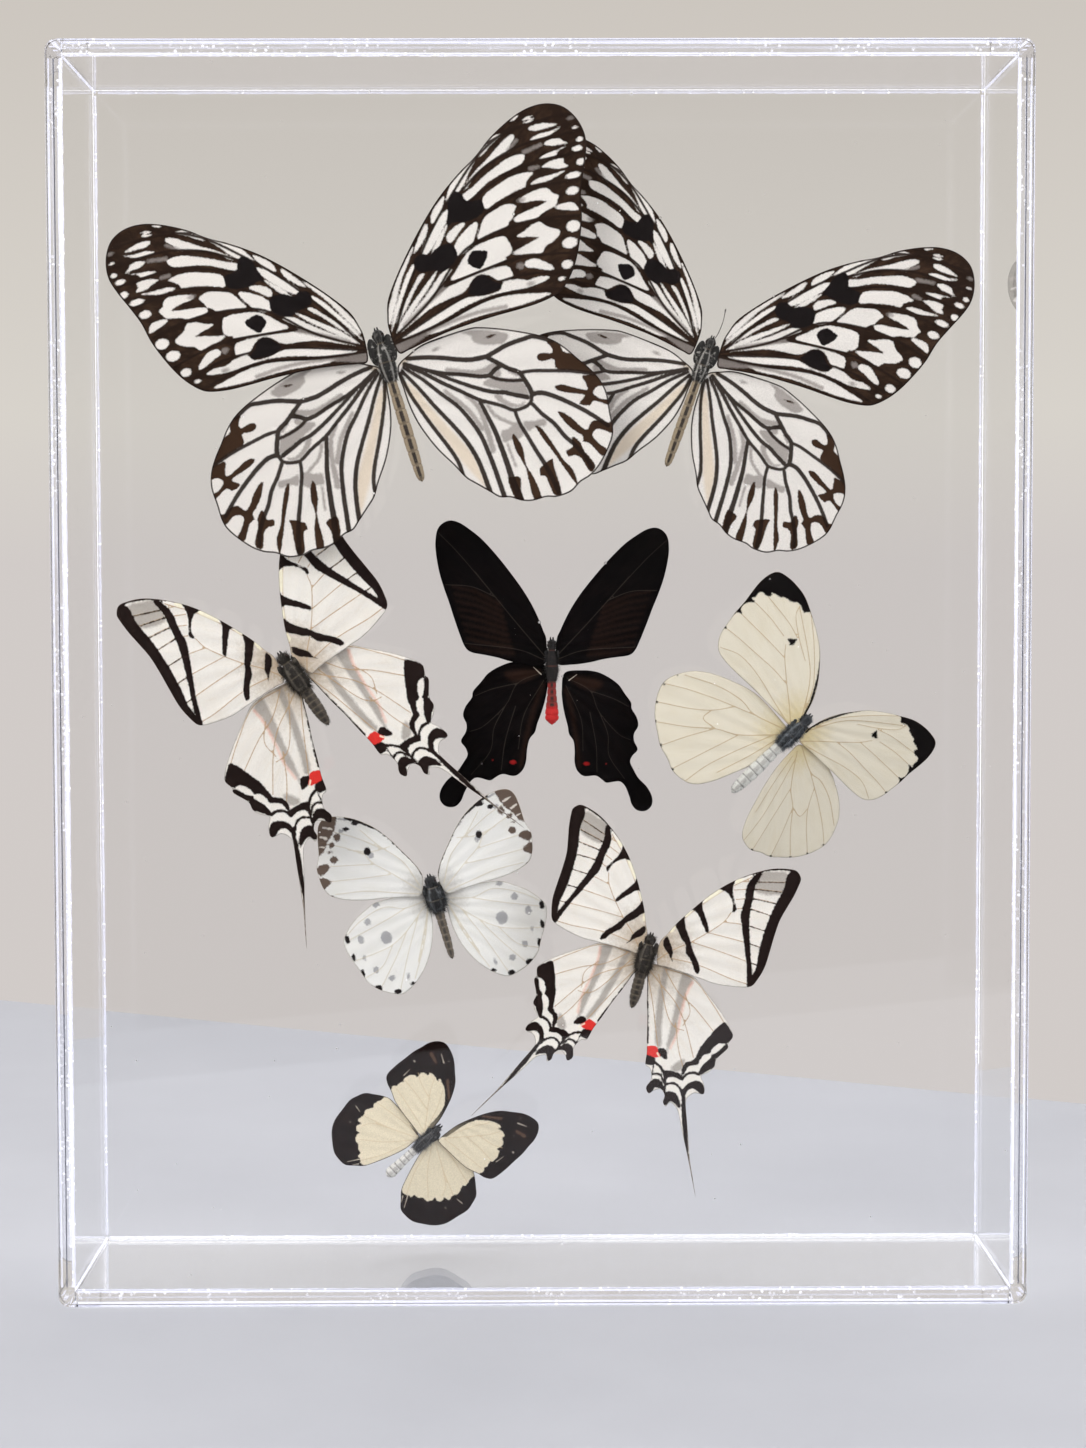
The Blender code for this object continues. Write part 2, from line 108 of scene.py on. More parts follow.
# Right-hand wing outlines, millimetres, clockwise from the front of the root.
FOREWINGS = {
    "kite": [(2.3, 8.5), (2.9, 11.9), (4.2, 15.3), (8.1, 20.5), (13.2, 26.2), (18.1, 31.1),
             (22.1, 34.5), (27, 37.9), (31.5, 40.5), (35.9, 43.7), (40.8, 46.3), (44.7, 47.7),
             (48.4, 48.1), (51.5, 47.5), (54, 46), (55.8, 43.4), (56.7, 40.4), (56.7, 37.4),
             (55.6, 34), (53.7, 29.7), (52.1, 25.7), (51, 21), (49.5, 17), (47.6, 13), (45.6, 9.9),
             (43.1, 7.3), (40.8, 6), (36.5, 5.2), (31.5, 5), (26, 5), (20.4, 4.8), (14.8, 4.4),
             (9.3, 3.6), (5.4, 2.9), (2.9, 3)],
    "swordtail": [(1.8, 4.1), (3, 6.6), (4.6, 9.7), (7, 13.3), (9.5, 16.7), (12.5, 20.1),
                  (15.6, 22.8), (19.3, 25.3), (23, 27.1), (26.6, 27.9), (28.5, 27.8), (29.7, 26.5),
                  (29.7, 25), (29.1, 21.9), (28.2, 18.9), (27.4, 15.8), (27.1, 12.1), (27, 8.4),
                  (26.8, 4.7), (26, 1.7), (24.8, -0.5), (21.7, -1.4), (16.8, -1.9), (12.5, -1.5),
                  (8.2, -1.1), (4.6, -0.8), (2.4, -0.5)],
    "black": [(1.1, 5.5), (2, 8.2), (3.8, 12.4), (6.2, 16.6), (9.2, 20.8), (12.8, 25.3),
              (16.4, 29.2), (19.4, 31.6), (21.8, 33.1), (23.9, 33.6), (25.7, 32.9), (26.9, 31.3),
              (27.3, 28.6), (27.1, 25.6), (26.3, 21.4), (25.1, 17.5), (23.9, 14.2), (22.7, 10.6),
              (21.2, 6.4), (20, 3.7), (18.5, 2.5), (15.2, 1.9), (12.2, 1.3), (9.3, 0.5), (5, -0.2),
              (1.4, 0.1)],
    "white": [(0.9, 3.6), (1.4, 6.4), (2.3, 9.3), (4, 12.5), (6.3, 15.6), (9.2, 18.8),
              (12.6, 21.3), (16.1, 23.4), (20.1, 25.4), (23.5, 26.1), (26.4, 26.1), (28.7, 25.5),
              (29.8, 23.9), (30.3, 21.3), (30.2, 18.5), (29.8, 15), (29.7, 11.6), (29.4, 9.3),
              (29, 6.4), (28.1, 4.1), (26.4, 2.3), (24.1, 1.6), (20.1, 1.3), (14.9, 1.3),
              (10.3, 1.1), (5.2, 0.9), (1.7, 0.9)],
    "spotted": [(1.7, 5), (2.4, 7.2), (3.9, 9.4), (6.1, 12), (8.3, 14.6), (11, 17.1), (13.6, 18.8),
                (16.2, 20), (18.9, 20.7), (21.3, 20.9), (23.3, 20.4), (24.4, 19), (24.8, 16.8),
                (24.9, 14.6), (25, 12), (25.7, 9.4), (25.4, 7.2), (24.8, 5), (23.5, 3), (21.1, 1.9),
                (18, 1.3), (14.5, 1.1), (10.5, 1.2), (6.1, 1.1), (2.6, 1.2)],
    "bordered": [(1.1, 3.6), (1.5, 5.8), (2.4, 8.5), (3.5, 11.1), (5.2, 13.8), (7.4, 15.7),
                 (9.6, 17.4), (11.8, 18.3), (13.8, 18.5), (15.4, 17.5), (16.5, 15.7), (16.9, 13.8),
                 (17.4, 11.6), (17.6, 8.9), (17.8, 6.3), (17.6, 3.2), (16.2, 1.9), (14, 1.2),
                 (11.8, 0.3), (9.2, -0.2), (5.7, -0.5), (2.2, -0.8), (1.1, -0.3)],
}
HINDWINGS = {
    "kite": [(2.3, 0.5), (6, 2.6), (9.5, 3.7), (15.2, 4), (21, 3.9), (23.8, 3.2), (27.8, 1.6),
             (31.8, -0.3), (35.3, -2.2), (38.1, -4.2), (40.4, -6.7), (42.4, -9.9), (44.4, -13),
             (45.9, -16.2), (46.5, -19.6), (45.9, -23.7), (45.3, -27.7), (43.9, -30.5),
             (40.1, -34.4), (37, -36.3), (34.1, -37.1), (31.3, -38.5), (27.8, -38.6), (25.5, -37.9),
             (22.1, -37.7), (19.8, -36.9), (17.5, -35.4), (15.2, -34.6), (13.5, -32.8),
             (11.2, -30.3), (9.2, -28), (7.5, -24.5), (4.9, -19.6), (2.9, -13.9), (2.1, -9.3),
             (2, -4.7)],
    "swordtail": [(1.8, -1.4), (6.4, -1.1), (9.5, -1.4), (12.2, -2), (15.6, -4.5), (19.3, -7.4),
                  (21.9, -9.7), (23.6, -11.5), (24.4, -13), (23.7, -14.8), (23.9, -15.8),
                  (22, -18.6), (21.9, -20.4), (20.8, -21.9), (19.4, -23), (20.6, -24.8),
                  (21, -26.8), (18.7, -27.1), (17.4, -28.7), (17.7, -30.5), (18.7, -33.3),
                  (20.2, -37.6), (21.7, -41.9), (23.3, -45.5), (25, -49.5), (22.7, -44.8),
                  (20.5, -40.3), (18.4, -36.3), (16.8, -33), (15.6, -31.1), (13.8, -30.2),
                  (13.1, -31.3), (12.2, -30.5), (12.2, -29), (11, -27.8), (9.5, -28.4), (8.5, -29.3),
                  (7.6, -28.4), (7.7, -27.5), (8.2, -26.5), (8.1, -25.3), (7.3, -23.8),
                  (6.1, -23.2), (5.7, -20.4), (4.9, -17.3), (3.9, -13), (3, -10), (2.1, -6.3),
                  (1.5, -3.8)],
    "black": [(1.4, -0.8), (5.6, 0.3), (9.2, 0.3), (12.2, -0.7), (14.9, -2.3), (16.7, -4.4),
              (18.5, -6.5), (18.8, -8), (20.3, -10.1), (20.9, -12.2), (20.1, -14.3), (20.3, -16.1),
              (21.4, -18.2), (20.3, -19.9), (19.9, -21.5), (20.9, -23.3), (22.4, -25.4),
              (24.8, -27.5), (26.3, -29.9), (26.4, -32), (25.1, -33.5), (23, -33.6), (21.5, -32.3),
              (20.6, -30.2), (19.3, -27.8), (18, -26.8), (16.7, -26.9), (14.6, -27.4),
              (13.4, -26.7), (11.7, -25.9), (8.9, -26.3), (7.1, -25.1), (6.2, -23), (5.9, -20),
              (5.3, -17.6), (4.1, -16.1), (3.5, -14), (2.6, -11.6), (1.7, -8.6), (1.1, -5)],
    "white": [(1.2, 0.1), (6.3, 0.8), (11.5, 0.9), (14.9, 0.3), (18.4, -1), (21.2, -2.2),
              (24.1, -3.9), (26.4, -5.9), (28.1, -8.5), (29, -10.8), (29.1, -12.8), (28.4, -14.8),
              (27.2, -16.8), (25.5, -18.8), (23.8, -20.2), (21.5, -21.7), (19.2, -23.1),
              (16.1, -23.9), (13.2, -25), (9.8, -24.7), (7.8, -23.7), (6.3, -21.9), (4.9, -19.4),
              (3.5, -15.9), (2, -11.9), (0.9, -7.3), (0.6, -2.7)],
    "spotted": [(2.2, 1), (7, 1.4), (11.4, 1.2), (14.9, 0.8), (18, -0.8), (20.6, -2.5),
                (22.8, -4.7), (24.2, -6.9), (23.9, -9.6), (22.8, -12.2), (21.5, -14.8),
                (20.2, -17.5), (18, -19.5), (15.4, -20.8), (12.7, -21.5), (11, -21), (8.8, -19.5),
                (6.6, -17.3), (4.8, -14.8), (3.3, -11.8), (2.2, -8.2), (1.7, -4.3), (1.7, -1.2)],
    "bordered": [(1.3, -1.2), (4.8, -0.5), (9.2, -0.1), (12.3, -0.1), (14, -0.8), (15.8, -2.1),
                 (17.6, -3.6), (18.4, -5.6), (18.8, -7.4), (18.4, -10), (17.8, -13.1),
                 (16.5, -15.3), (14.5, -17), (12.3, -18.4), (10.1, -18.7), (8.3, -18.4),
                 (6.6, -16.8), (5, -15.1), (3.7, -12.2), (2.4, -8.7), (1.5, -5.6), (1.3, -3.4)],
}

# Each butterfly: its name, kind, centre across and up the case and back from its middle (mm),
# heading (degrees clockwise from upright, seen from the front) and body size. Then its wings: how
# far each is turned forward and folded back at its hinge (degrees), its size outward and along
# the body, and its hinge's shift (mm).
BUTTERFLIES = [
    ("near_kite", "kite", (-34.5, 209.0, -6), -16.7, 1.0, {
        "left_forewing": (1.5, 4, 0.97, 0.97, (0.9, 0.3)),
        "right_forewing": (-0.9, 4, 1.01, 1.01, (0.4, 0.1)),
        "left_hindwing": (7.6, 6, 0.99, 0.98, (-1.0, -0.2)),
        "right_hindwing": (1.6, 6, 0.99, 1.0, (-0.1, -0.5))}),
    ("far_kite", "kite", (36.9, 209.3, 6), 19.7, 0.88, {
        "left_forewing": (-1.8, 4, 0.88, 0.88, (0.5, 0.2)),
        "right_forewing": (0.4, 4, 0.95, 0.96, (0.3, -0.4)),
        "left_hindwing": (1.8, 6, 1.0, 0.86, (-0.9, -0.9)),
        "right_hindwing": (1.8, 6, 0.91, 0.89, (-0.8, -0.5))}),
    ("upper_swordtail", "swordtail", (-56.6, 139.3, 2), -34.2, 1.12, {
        "left_forewing": (6.7, 4, 1.0, 1.16, (-0.2, 1.7)),
        "right_forewing": (6.6, 4, 1.05, 1.12, (0.4, -0.4)),
        "left_hindwing": (7.9, 6, 1.12, 1.19, (-1.0, 0.9)),
        "right_hindwing": (-3.2, 5, 1.04, 1.22, (1.2, 2.4))}),
    ("black_swallowtail", "black", (2.6, 141.7, 14), 0.0, 1.0, {
        "left_forewing": (1.1, 3, 1.01, 0.99, (0.2, -0.1)),
        "right_forewing": (-2.2, 4, 0.98, 0.97, (-0.1, 0)),
        "left_hindwing": (0, 5, 1.01, 1.01, (-0.1, 0.1)),
        "right_hindwing": (-6.4, 6, 0.96, 0.93, (1.6, -1.4))}),
    ("black_tipped_white", "white", (57.7, 125.3, 4), 45.8, 1.0, {
        "left_forewing": (-2.8, 3, 0.98, 0.98, (-0.2, 0.7)),
        "right_forewing": (0.7, 14, 0.89, 0.91, (0.6, -0.4)),
        "left_hindwing": (0.2, 5, 1.02, 1.02, (-0.5, 0.2)),
        "right_hindwing": (1.7, 18, 0.81, 1.02, (1.8, 0.1))}),
    ("spotted_white", "spotted", (-24.8, 85.9, 14), -15.6, 1.0, {
        "left_forewing": (10.5, 6, 1.04, 1.03, (0.2, 0.9)),
        "right_forewing": (0.4, 4, 1.0, 1.01, (0.3, -0.1)),
        "left_hindwing": (5.4, 8, 0.98, 1.01, (-0.1, 1.2)),
        "right_hindwing": (-4.3, 5, 1.02, 1.01, (0.5, 0.4))}),
    ("lower_swordtail", "swordtail", (24.0, 73.8, 2), 15.0, 1.0, {
        "left_forewing": (5.3, 4, 0.94, 0.97, (-0.7, 1.2)),
        "right_forewing": (0.5, 3, 1.01, 1.01, (0.5, 0.1)),
        "left_hindwing": (8.2, 6, 0.94, 1.05, (-1.0, 1.5)),
        "right_hindwing": (1.1, 5, 1.01, 1.06, (0, 0.3))}),
    ("brown_bordered", "bordered", (-26.9, 29.9, 12), 46.7, 1.0, {
        "left_forewing": (0.9, 3, 1.0, 0.99, (-0.1, -0.1)),
        "right_forewing": (-4.3, 6, 0.95, 1.08, (1.1, 2.3)),
        "left_hindwing": (0.2, 5, 1.0, 1.01, (0.2, -0.2)),
        "right_hindwing": (-1.7, 8, 1.06, 1.03, (0, 2.5))}),
]


def line(start, end, *points):
    """A stripe along the points, with its half-width at each end."""
    return ("line", start, end, points)


def spot(x, y, half_length, half_height):
    return ("spot", x, y, half_length, half_height)


def area(*points):
    return ("area", points)


# Markings, in each wing's own drawing frame (mm). A line has its half-width at each end, a spot its
# middle and half-sizes, and an area is a closed loop of points.
MARKINGS = {
    ("kite", "fore"): {
        "light": [
            area((2.3, 10.5), (4.5, 14.6), (7.5, 19.2), (12.3, 24.6), (12, 23.6), (8, 18.2), (5, 13),
                 (2.9, 9.6)),
            area((12.3, 23.4), (14.4, 26.4), (16.6, 28.9), (17, 28.3), (16.1, 26.4), (13.6, 24)),
            area((18.2, 28.5), (18.2, 30), (19.8, 32), (22.4, 33.8), (21.6, 31.9), (20.4, 30),
                 (19.4, 29.3)),
            area((14, 22.9), (15.2, 24.6), (18, 27.3), (20.6, 29.8), (22.4, 30.7), (22.1, 29.4),
                 (20.6, 27.3), (18.4, 25),
                 (16.1, 22.9), (15, 22.3)),
            area((16, 21.8), (17.8, 22.9), (19.4, 24.6), (21.5, 27.5), (20.4, 26.8), (18.2, 24.8)),
            area((22.6, 32.3), (23.2, 34), (24.8, 36.1), (27.3, 38.2), (27, 37), (25.6, 35.2), (24.2, 33)),
            area((25.1, 34.6), (26.6, 36.9), (28.8, 38.9), (31.9, 41), (31.2, 39.6), (29.4, 37.6),
                 (27.6, 35.4),
                 (25.7, 33.7)),
            area((27, 34), (28.4, 35.5), (30.7, 37.3), (33.6, 39), (36, 40.6), (39.2, 42.6), (41.1, 43.1),
                 (41.2, 42.3),
                 (39.9, 41), (38.9, 39.6), (36.2, 38.9), (33.2, 38), (30.1, 36.3), (28, 34.3)),
            area((32.2, 40.2), (33.2, 41.9), (34.8, 43), (37.1, 43.9), (38.7, 43.8), (37.4, 43),
                 (35.2, 41.8), (33.6, 40.6)),
            area((25.4, 31.9), (26.6, 33), (29, 34), (32, 35.6), (35.2, 37), (38.9, 38.3), (42.1, 38.2),
                 (42.2, 37.4),
                 (41.3, 36.3), (38.6, 35.7), (36.5, 35.3), (33, 34.3), (30.4, 33), (28.6, 31.9),
                 (26.6, 31.2)),
            area((30.3, 29.3), (30.6, 31), (31.9, 32), (34.6, 33), (37.9, 34), (41.2, 34.1), (43.2, 33.6),
                 (42.3, 33),
                 (41, 31.9), (40.6, 31), (38.4, 30.7), (35.8, 30.1), (33, 29.3), (30.9, 28.5)),
            area((20.3, 24.2), (20.9, 25.5), (22.9, 26.6), (24.6, 27), (25.3, 26.6), (24, 25.6),
                 (22.4, 24.3), (21, 23.3)),
            area((21.5, 20.3), (21.4, 22), (22.6, 23.6), (24.6, 25), (26.4, 26), (27.9, 26.3), (27.7, 25),
                 (26.4, 23),
                 (25.6, 21.9), (24.2, 21), (22.6, 20.2)),
            area((27.1, 22.4), (28.4, 24.9), (29.9, 26.8), (32.5, 27.8), (35.3, 28.4), (37.4, 27.5),
                 (36.6, 26.4),
                 (36, 25.1), (34.9, 24.4), (33.9, 23.4), (30.4, 22.9)),
            area((38.4, 28.4), (39.6, 29.1), (42, 29.6), (44.6, 29.7), (45.7, 28.9), (46.2, 27.9),
                 (47.4, 27.2),
                 (46.8, 26.4), (46.2, 25.3), (45, 24.9), (42.6, 24.3), (41, 23.6), (38.4, 23.5), (36.3, 24),
                 (36.3, 24.9),
                 (38, 25.5), (41, 25.9), (44.4, 26.6), (41.6, 27.5), (39.2, 27.7)),
            area((18.7, 15.4), (20.8, 17.4), (23.4, 19.8), (26, 21.1), (29, 21.6), (31.6, 21.8),
                 (33.1, 21.4), (33.6, 20),
                 (33.9, 18.4), (33, 17.3), (31.8, 17), (32, 16.5), (29, 16), (25, 15.6), (21.6, 15.3)),
            area((35.7, 20.9), (37.6, 21.5), (39.6, 22.4), (41.6, 22.6), (42.4, 21.6), (43.4, 20.8),
                 (45.4, 19.6),
                 (44.8, 18.5), (43.3, 17.6), (41.3, 17), (40.2, 15.8), (37.7, 16.3), (35, 16.8),
                 (33.6, 17.4),
                 (35.6, 18), (38.6, 18.8), (40.6, 19.2), (38.4, 20), (36.4, 20.4)),
            area((4.6, 7), (8.6, 8.8), (13, 10.6), (17, 11.4), (21, 12.1), (23.5, 14.2), (25.4, 14.8),
                 (27.2, 14.2),
                 (29.3, 12.3), (32.2, 12.3), (32.4, 13.6), (31.9, 14.9), (30, 15.3), (25, 15.1), (20, 14.4),
                 (17.4, 13.9),
                 (13, 11.9), (9, 9.5)),
            area((35.6, 14.2), (36.4, 15), (38.4, 14.9), (39.9, 13.9), (41.6, 12.4), (41.6, 11.5),
                 (39.6, 12),
                 (37.6, 13), (36.2, 13.4)),
            area((4.6, 6), (9, 7.5), (14, 9.1), (20, 10.5), (22.3, 10.5), (25, 10), (28.6, 10.2),
                 (29.9, 11.7), (33, 11.6),
                 (35.5, 10.7), (38, 10.9), (40.4, 10.1), (38.4, 9.5), (35, 9.2), (31, 9.5), (26, 9.6),
                 (21, 9),
                 (16, 7.7), (11, 6.4), (6, 5.6)),
            area((10, 5.3), (14, 6.2), (17, 6.9), (21, 7.9), (25, 8.6), (29, 8.7), (33, 8.2), (36.6, 7.4),
                 (39.6, 6.6),
                 (37, 6.1), (32, 5.8), (27, 5.9), (22, 5.9), (18, 5.6), (13, 5)),
            area((2.7, 7.8), (4.5, 11.8), (7, 15.6), (9.4, 19), (11.5, 21), (11.6, 20.2), (9.2, 17.1),
                 (7, 14), (4.6, 10.4)),
            area((4.2, 8.8), (6.6, 12.2), (9.4, 15.4), (12.2, 18.3), (13.4, 18.3), (12.6, 17.4),
                 (10.6, 15.6), (7.4, 12)),
            area((3.4, 7), (6, 10), (9, 12.7), (12.2, 15.2), (15.2, 17.5), (16.4, 18.2), (14.6, 16.1),
                 (11.6, 13.5),
                 (8.6, 10.9), (5, 7.9)),
            area((4.6, 7.5), (8, 10.3), (12, 13.2), (15.4, 16), (17, 17.3), (18.9, 17.9), (19.6, 17.6),
                 (18, 16.2),
                 (15.8, 14.5), (13, 12.6), (9.4, 10.4), (6.4, 8.2)),
            spot(44.9, 11.8, 1.25, 0.95), spot(42.8, 9.1, 0.8, 0.45), spot(46.8, 16.3, 1.75, 1.2),
            spot(48.6, 19.7, 1.6, 1.25), spot(50.6, 27.4, 1.45, 0.9), spot(51.7, 30.7, 1.7, 0.75),
            area((45.8, 24.5), (46.6, 25.1), (49.8, 24.9), (50.8, 22.9), (48.6, 23.4)),
            spot(54.2, 33.2, 1.0, 0.75), spot(54.3, 36.3, 1.2, 0.62), spot(55.4, 38.2, 0.75, 0.55),
            spot(55.1, 41, 0.6, 0.3), area((41.1, 46.2), (42.2, 46.9), (43.5, 47.1), (43.2, 46.6),
                                           (42, 46)),
            area((43.7, 45.5), (45.3, 46.1), (46.5, 46), (45.6, 45.5)),
            area((44, 44.8), (45.6, 45.3), (46.8, 45.5), (45.6, 44.6)),
            area((44.8, 43.5), (46.6, 43.9), (48.6, 43.7), (51.4, 42.7), (48, 42.5), (45.8, 42.6)),
            area((44.5, 40.8), (46.5, 41.6), (49.6, 41.6), (51.9, 42), (49.8, 41), (47.5, 40.6)),
            area((47.2, 39.2), (49, 39.8), (51, 39.5), (51.6, 38.7), (52.7, 38), (50.6, 38.2), (49, 38.3)),
            area((45.3, 36.3), (47.2, 36.9), (50, 37.2), (52, 37.5), (49.6, 36.7), (49.4, 36.1), (47, 36)),
            area((45.4, 34.3), (47.6, 35.1), (50.6, 35), (50.4, 34), (51.3, 33), (48.8, 33), (47, 33.8)),
            area((41.9, 31.2), (43.6, 32), (47, 32.1), (50.2, 32.2), (47.4, 31.3), (45.8, 31), (44, 31)),
        ],
        "vein": [
            line(0.3, 0.3, (3.4, 7.4), (10, 17.5), (17, 26.5), (24, 33.5), (33, 41), (44, 46)),
            line(0.3, 0.3, (2.6, 6.2), (13, 12.2), (20, 18.4), (25.2, 21.6), (34, 23.3), (42, 23.2),
                 (51, 21.6)),
            line(0.3, 0.3, (25.4, 33.2), (32, 37.2), (38, 39.4), (44, 40.4), (56, 40.2)),
            line(0.3, 0.3, (27, 31), (33, 33.4), (38, 35), (45, 35.8), (55.6, 35.3)),
            line(0.3, 0.3, (30.3, 27.6), (36, 29.4), (43, 30.4), (53, 29.6)),
            line(0.3, 0.3, (17, 14.4), (25, 15.4), (33, 16.1), (40, 15.4), (48, 13.7)),
            line(0.25, 0.3, (2.6, 5.4), (21, 11), (34, 12.2), (44, 10.4)),
            line(0.3, 0.3, (2.4, 5), (14, 6.7), (26, 9.1), (34, 8.7), (42, 7)),
            line(0.3, 0.3, (34, 42.5), (42, 44.2), (52, 44.6), (55, 44.2)),
        ],
        "dark": [
            area((22.3, 30.4), (23, 32.6), (25, 34.2), (26.4, 33), (26.8, 31.6), (28.4, 31), (30, 31),
                 (30.4, 29.6),
                 (30.2, 28.4), (28.6, 27.4), (25.6, 27), (22.4, 27.6), (21.4, 26.9), (21.8, 29)),
            area((11.8, 19.8), (11.8, 21.4), (12.6, 22.4), (14.4, 22.6), (15.3, 21.9), (16.2, 22.2),
                 (17.6, 23.1), (20, 23.4),
                 (21.4, 22.6), (21.7, 20.4), (20.9, 19.4), (20, 18.6), (17.4, 17.6), (15.8, 18.5),
                 (13.2, 18.7)),
            area((23.4, 18), (24.2, 19.6), (25.4, 20.3), (27.2, 19.9), (28.4, 19.4), (27.8, 17.9),
                 (26.6, 16.6),
                 (25.8, 15.9), (24.6, 16.6)),
            area((21.6, 11.6), (22.6, 12.9), (23.6, 14.1), (25.4, 14.6), (26.8, 14), (27.6, 12.8),
                 (29, 11.8), (29.3, 10.9),
                 (27.6, 10.4), (24.9, 10.2), (22.8, 10.7)),
        ],
        "grey": [
            area((33.6, 14.4), (34.7, 15), (35.7, 14.2), (34.6, 13.4)),
            line(0.5, 0.5, (6, 8.4), (12, 11.6), (17, 14.1)),
            line(0.35, 0.5, (8, 5), (15, 6.2), (22, 6.8), (29, 6.4)),
            area((0.5, 5.2), (5, 5.2), (11, 5.4), (7, 3.8), (2, 2.6)),
            spot(54.8, 43.3, 0.8, 0.4), line(0.4, 0.4, (39, 39.9), (41.5, 41.6)),
            line(0.5, 0.4, (42.4, 38.6), (46.5, 39.2)),
            line(0.5, 0.4, (42.8, 34.6), (44.6, 34.6)), spot(35.8, 9.8, 0.9, 0.5),
            spot(38.9, 28.4, 0.9, 0.5),
        ],
    },
    ("kite", "hind"): {
        "light": [area((-4, 8), (50, 8), (50, -42), (-4, -42))],
        "tan": [area((2, -3), (4, -9), (7, -17), (9, -23), (12, -29.6), (13.2, -31), (12.6, -24),
                     (10.6, -19), (7, -11),
                     (4.6, -5)), area((0, 3), (3.5, 3.4), (6, 2.6), (4, 0.6))],
        "vein": [
            line(0.52, 0.6, (5, 1.7), (9, 0.7), (13, -0.7), (16, -2), (19, -3), (22.4, -3.4)),
            line(0.57, 0.5, (22.5, -3.4), (25, -2.9), (28, -2.3), (32, -2.2), (34.5, -2.4), (38, -4.6)),
            line(0.52, 0.6, (22.3, -3.4), (24.4, -5.4), (26.5, -7.5), (28.5, -9), (29.2, -11),
                 (29.8, -13.5), (29.8, -14.8)),
            line(0.42, 0.45, (28.6, -9.2), (31.4, -9.6), (35, -10.7), (39, -12), (42, -13.2),
                 (45.6, -14.9)),
            line(0.57, 0.5, (29.8, -14.7), (32, -15), (35, -17), (38.4, -20), (41.3, -23), (44.4, -26.8)),
            line(0.42, 0.5, (29.6, -15), (28.9, -16.4), (26.8, -17), (24.6, -16.8), (22, -14.8),
                 (19.4, -13.2),
                 (17.6, -12), (15, -9.6), (11, -6), (7.4, -2.4), (4, 0.6)),
            line(0.47, 0.55, (29.2, -16.8), (30.6, -19.6), (32.6, -22.6), (34, -26), (35.6, -28.6),
                 (37, -31.8), (37.6, -34.6)),
            line(0.42, 0.6, (24.8, -17), (25, -20), (25.8, -23.5), (26.6, -27), (27.4, -30), (28.2, -34),
                 (28.6, -38)),
            line(0.47, 0.8, (17.9, -12.8), (18.4, -16), (19, -20), (19.2, -24), (19.3, -28), (19.3, -31.5),
                 (19.6, -37)),
            line(0.42, 0.6, (3.6, 0), (7, -4), (10, -8.4), (12.6, -12), (14.4, -16), (15.6, -20), (16, -24),
                 (16.2, -28),
                 (16.3, -35)),
            line(0.42, 0.6, (3, -0.6), (5.4, -5.4), (7.4, -10), (9.8, -15), (11.8, -19.6), (13, -24),
                 (13.4, -28),
                 (13.5, -33)),
            line(0.42, 0.5, (2.4, -1), (3, -5.6), (4.2, -10), (5.8, -15), (7.6, -20), (8.7, -24),
                 (8.8, -27.6)),
            line(0.37, 0.55, (4, 0.9), (8, -1.8), (12, -4), (16, -5.6), (19.6, -7.2), (21.8, -7.6),
                 (23.2, -6.9), (24.8, -6.4)),
            line(0.37, 0.55, (4, 0.7), (9, -2.6), (13.6, -6.2), (18, -9.4), (21.5, -11.5), (23.6, -12.2),
                 (26, -13.6),
                 (28.6, -15)),
            line(0.42, 0.4, (21.8, -7.8), (23.4, -9), (26, -10.2), (28.8, -11)),
            line(0.37, 0.4, (2.4, 3.4), (8, 3.9), (14, 4)),
        ],
        "brown": [
            area((36.6, -4.4), (38, -4.3), (39.6, -6), (39.8, -7.6), (41.4, -8.6), (43, -9), (44.4, -11.5),
                 (46, -14.8),
                 (43, -13.6), (41, -12.6), (39.6, -12), (37, -10.8), (37.2, -8.6), (35, -8.4), (33.8, -7.9),
                 (33.6, -6.8),
                 (34.8, -6.4), (37.3, -7.2), (37.4, -5.6)),
            area((35.2, -14.7), (37, -14.6), (40, -16.4), (42.4, -17.6), (42.4, -15.6), (42.2, -14.2),
                 (45.4, -15),
                 (46.8, -17.8), (45, -17.6), (43.4, -18.6), (44.6, -20.4), (46.8, -21.4), (46.4, -22.6),
                 (43, -20.4),
                 (41.8, -21.2), (39.6, -20), (41.4, -18.6), (38.6, -17.2), (36.2, -16)),
            area((34.2, -20.2), (35.4, -20.8), (37, -22.8), (38.2, -25), (39.4, -26.2), (41, -24.8),
                 (43, -25), (44.6, -26.2),
                 (46, -26), (45, -28.8), (43, -27.4), (41.6, -26.8), (40.2, -27.6), (41, -30), (42.4, -32),
                 (40.8, -33),
                 (39, -29.4), (37.6, -28.4), (38, -27.4), (36.6, -25.6), (35.2, -23.4)),
            area((33.2, -29.2), (34.8, -29), (35.6, -26.6), (37, -28.4), (37.2, -30.4), (38.6, -34.4),
                 (37, -35.6), (36, -32),
                 (34.6, -30.8), (33.4, -30.8)),
            area((28.2, -21.4), (29.4, -22.6), (30.6, -26), (32, -31), (33.4, -34), (33.2, -37.6),
                 (31.6, -33), (30.2, -28.4),
                 (28.8, -24.4)),
            area((26, -31.4), (27, -30.8), (29.6, -30), (29.4, -31.8), (29.2, -37.6), (27.4, -38),
                 (26.8, -33.4), (25.8, -33)),
            area((22.8, -21.8), (23.6, -23.8), (23.8, -26.4), (23.4, -29.6), (24.2, -33), (24.4, -38),
                 (22.6, -37.6),
                 (22.8, -33), (23, -29.8), (22.2, -26), (22.2, -23)),
            area((18.4, -31), (19, -31), (21.2, -31.8), (20.4, -34.6), (20.2, -37), (18.6, -36.4),
                 (18.2, -33)),
            spot(24.9, 0.7, 1.2, 0.32),
        ],
        "grey": [
            area((18.6, 3.6), (20.6, 2.2), (20.6, 0.9), (22.6, -0.6), (26, -1.6), (27.4, -1.6), (29, -0.4),
                 (28, 0.6),
                 (26, 1.6), (22.6, 2.9)),
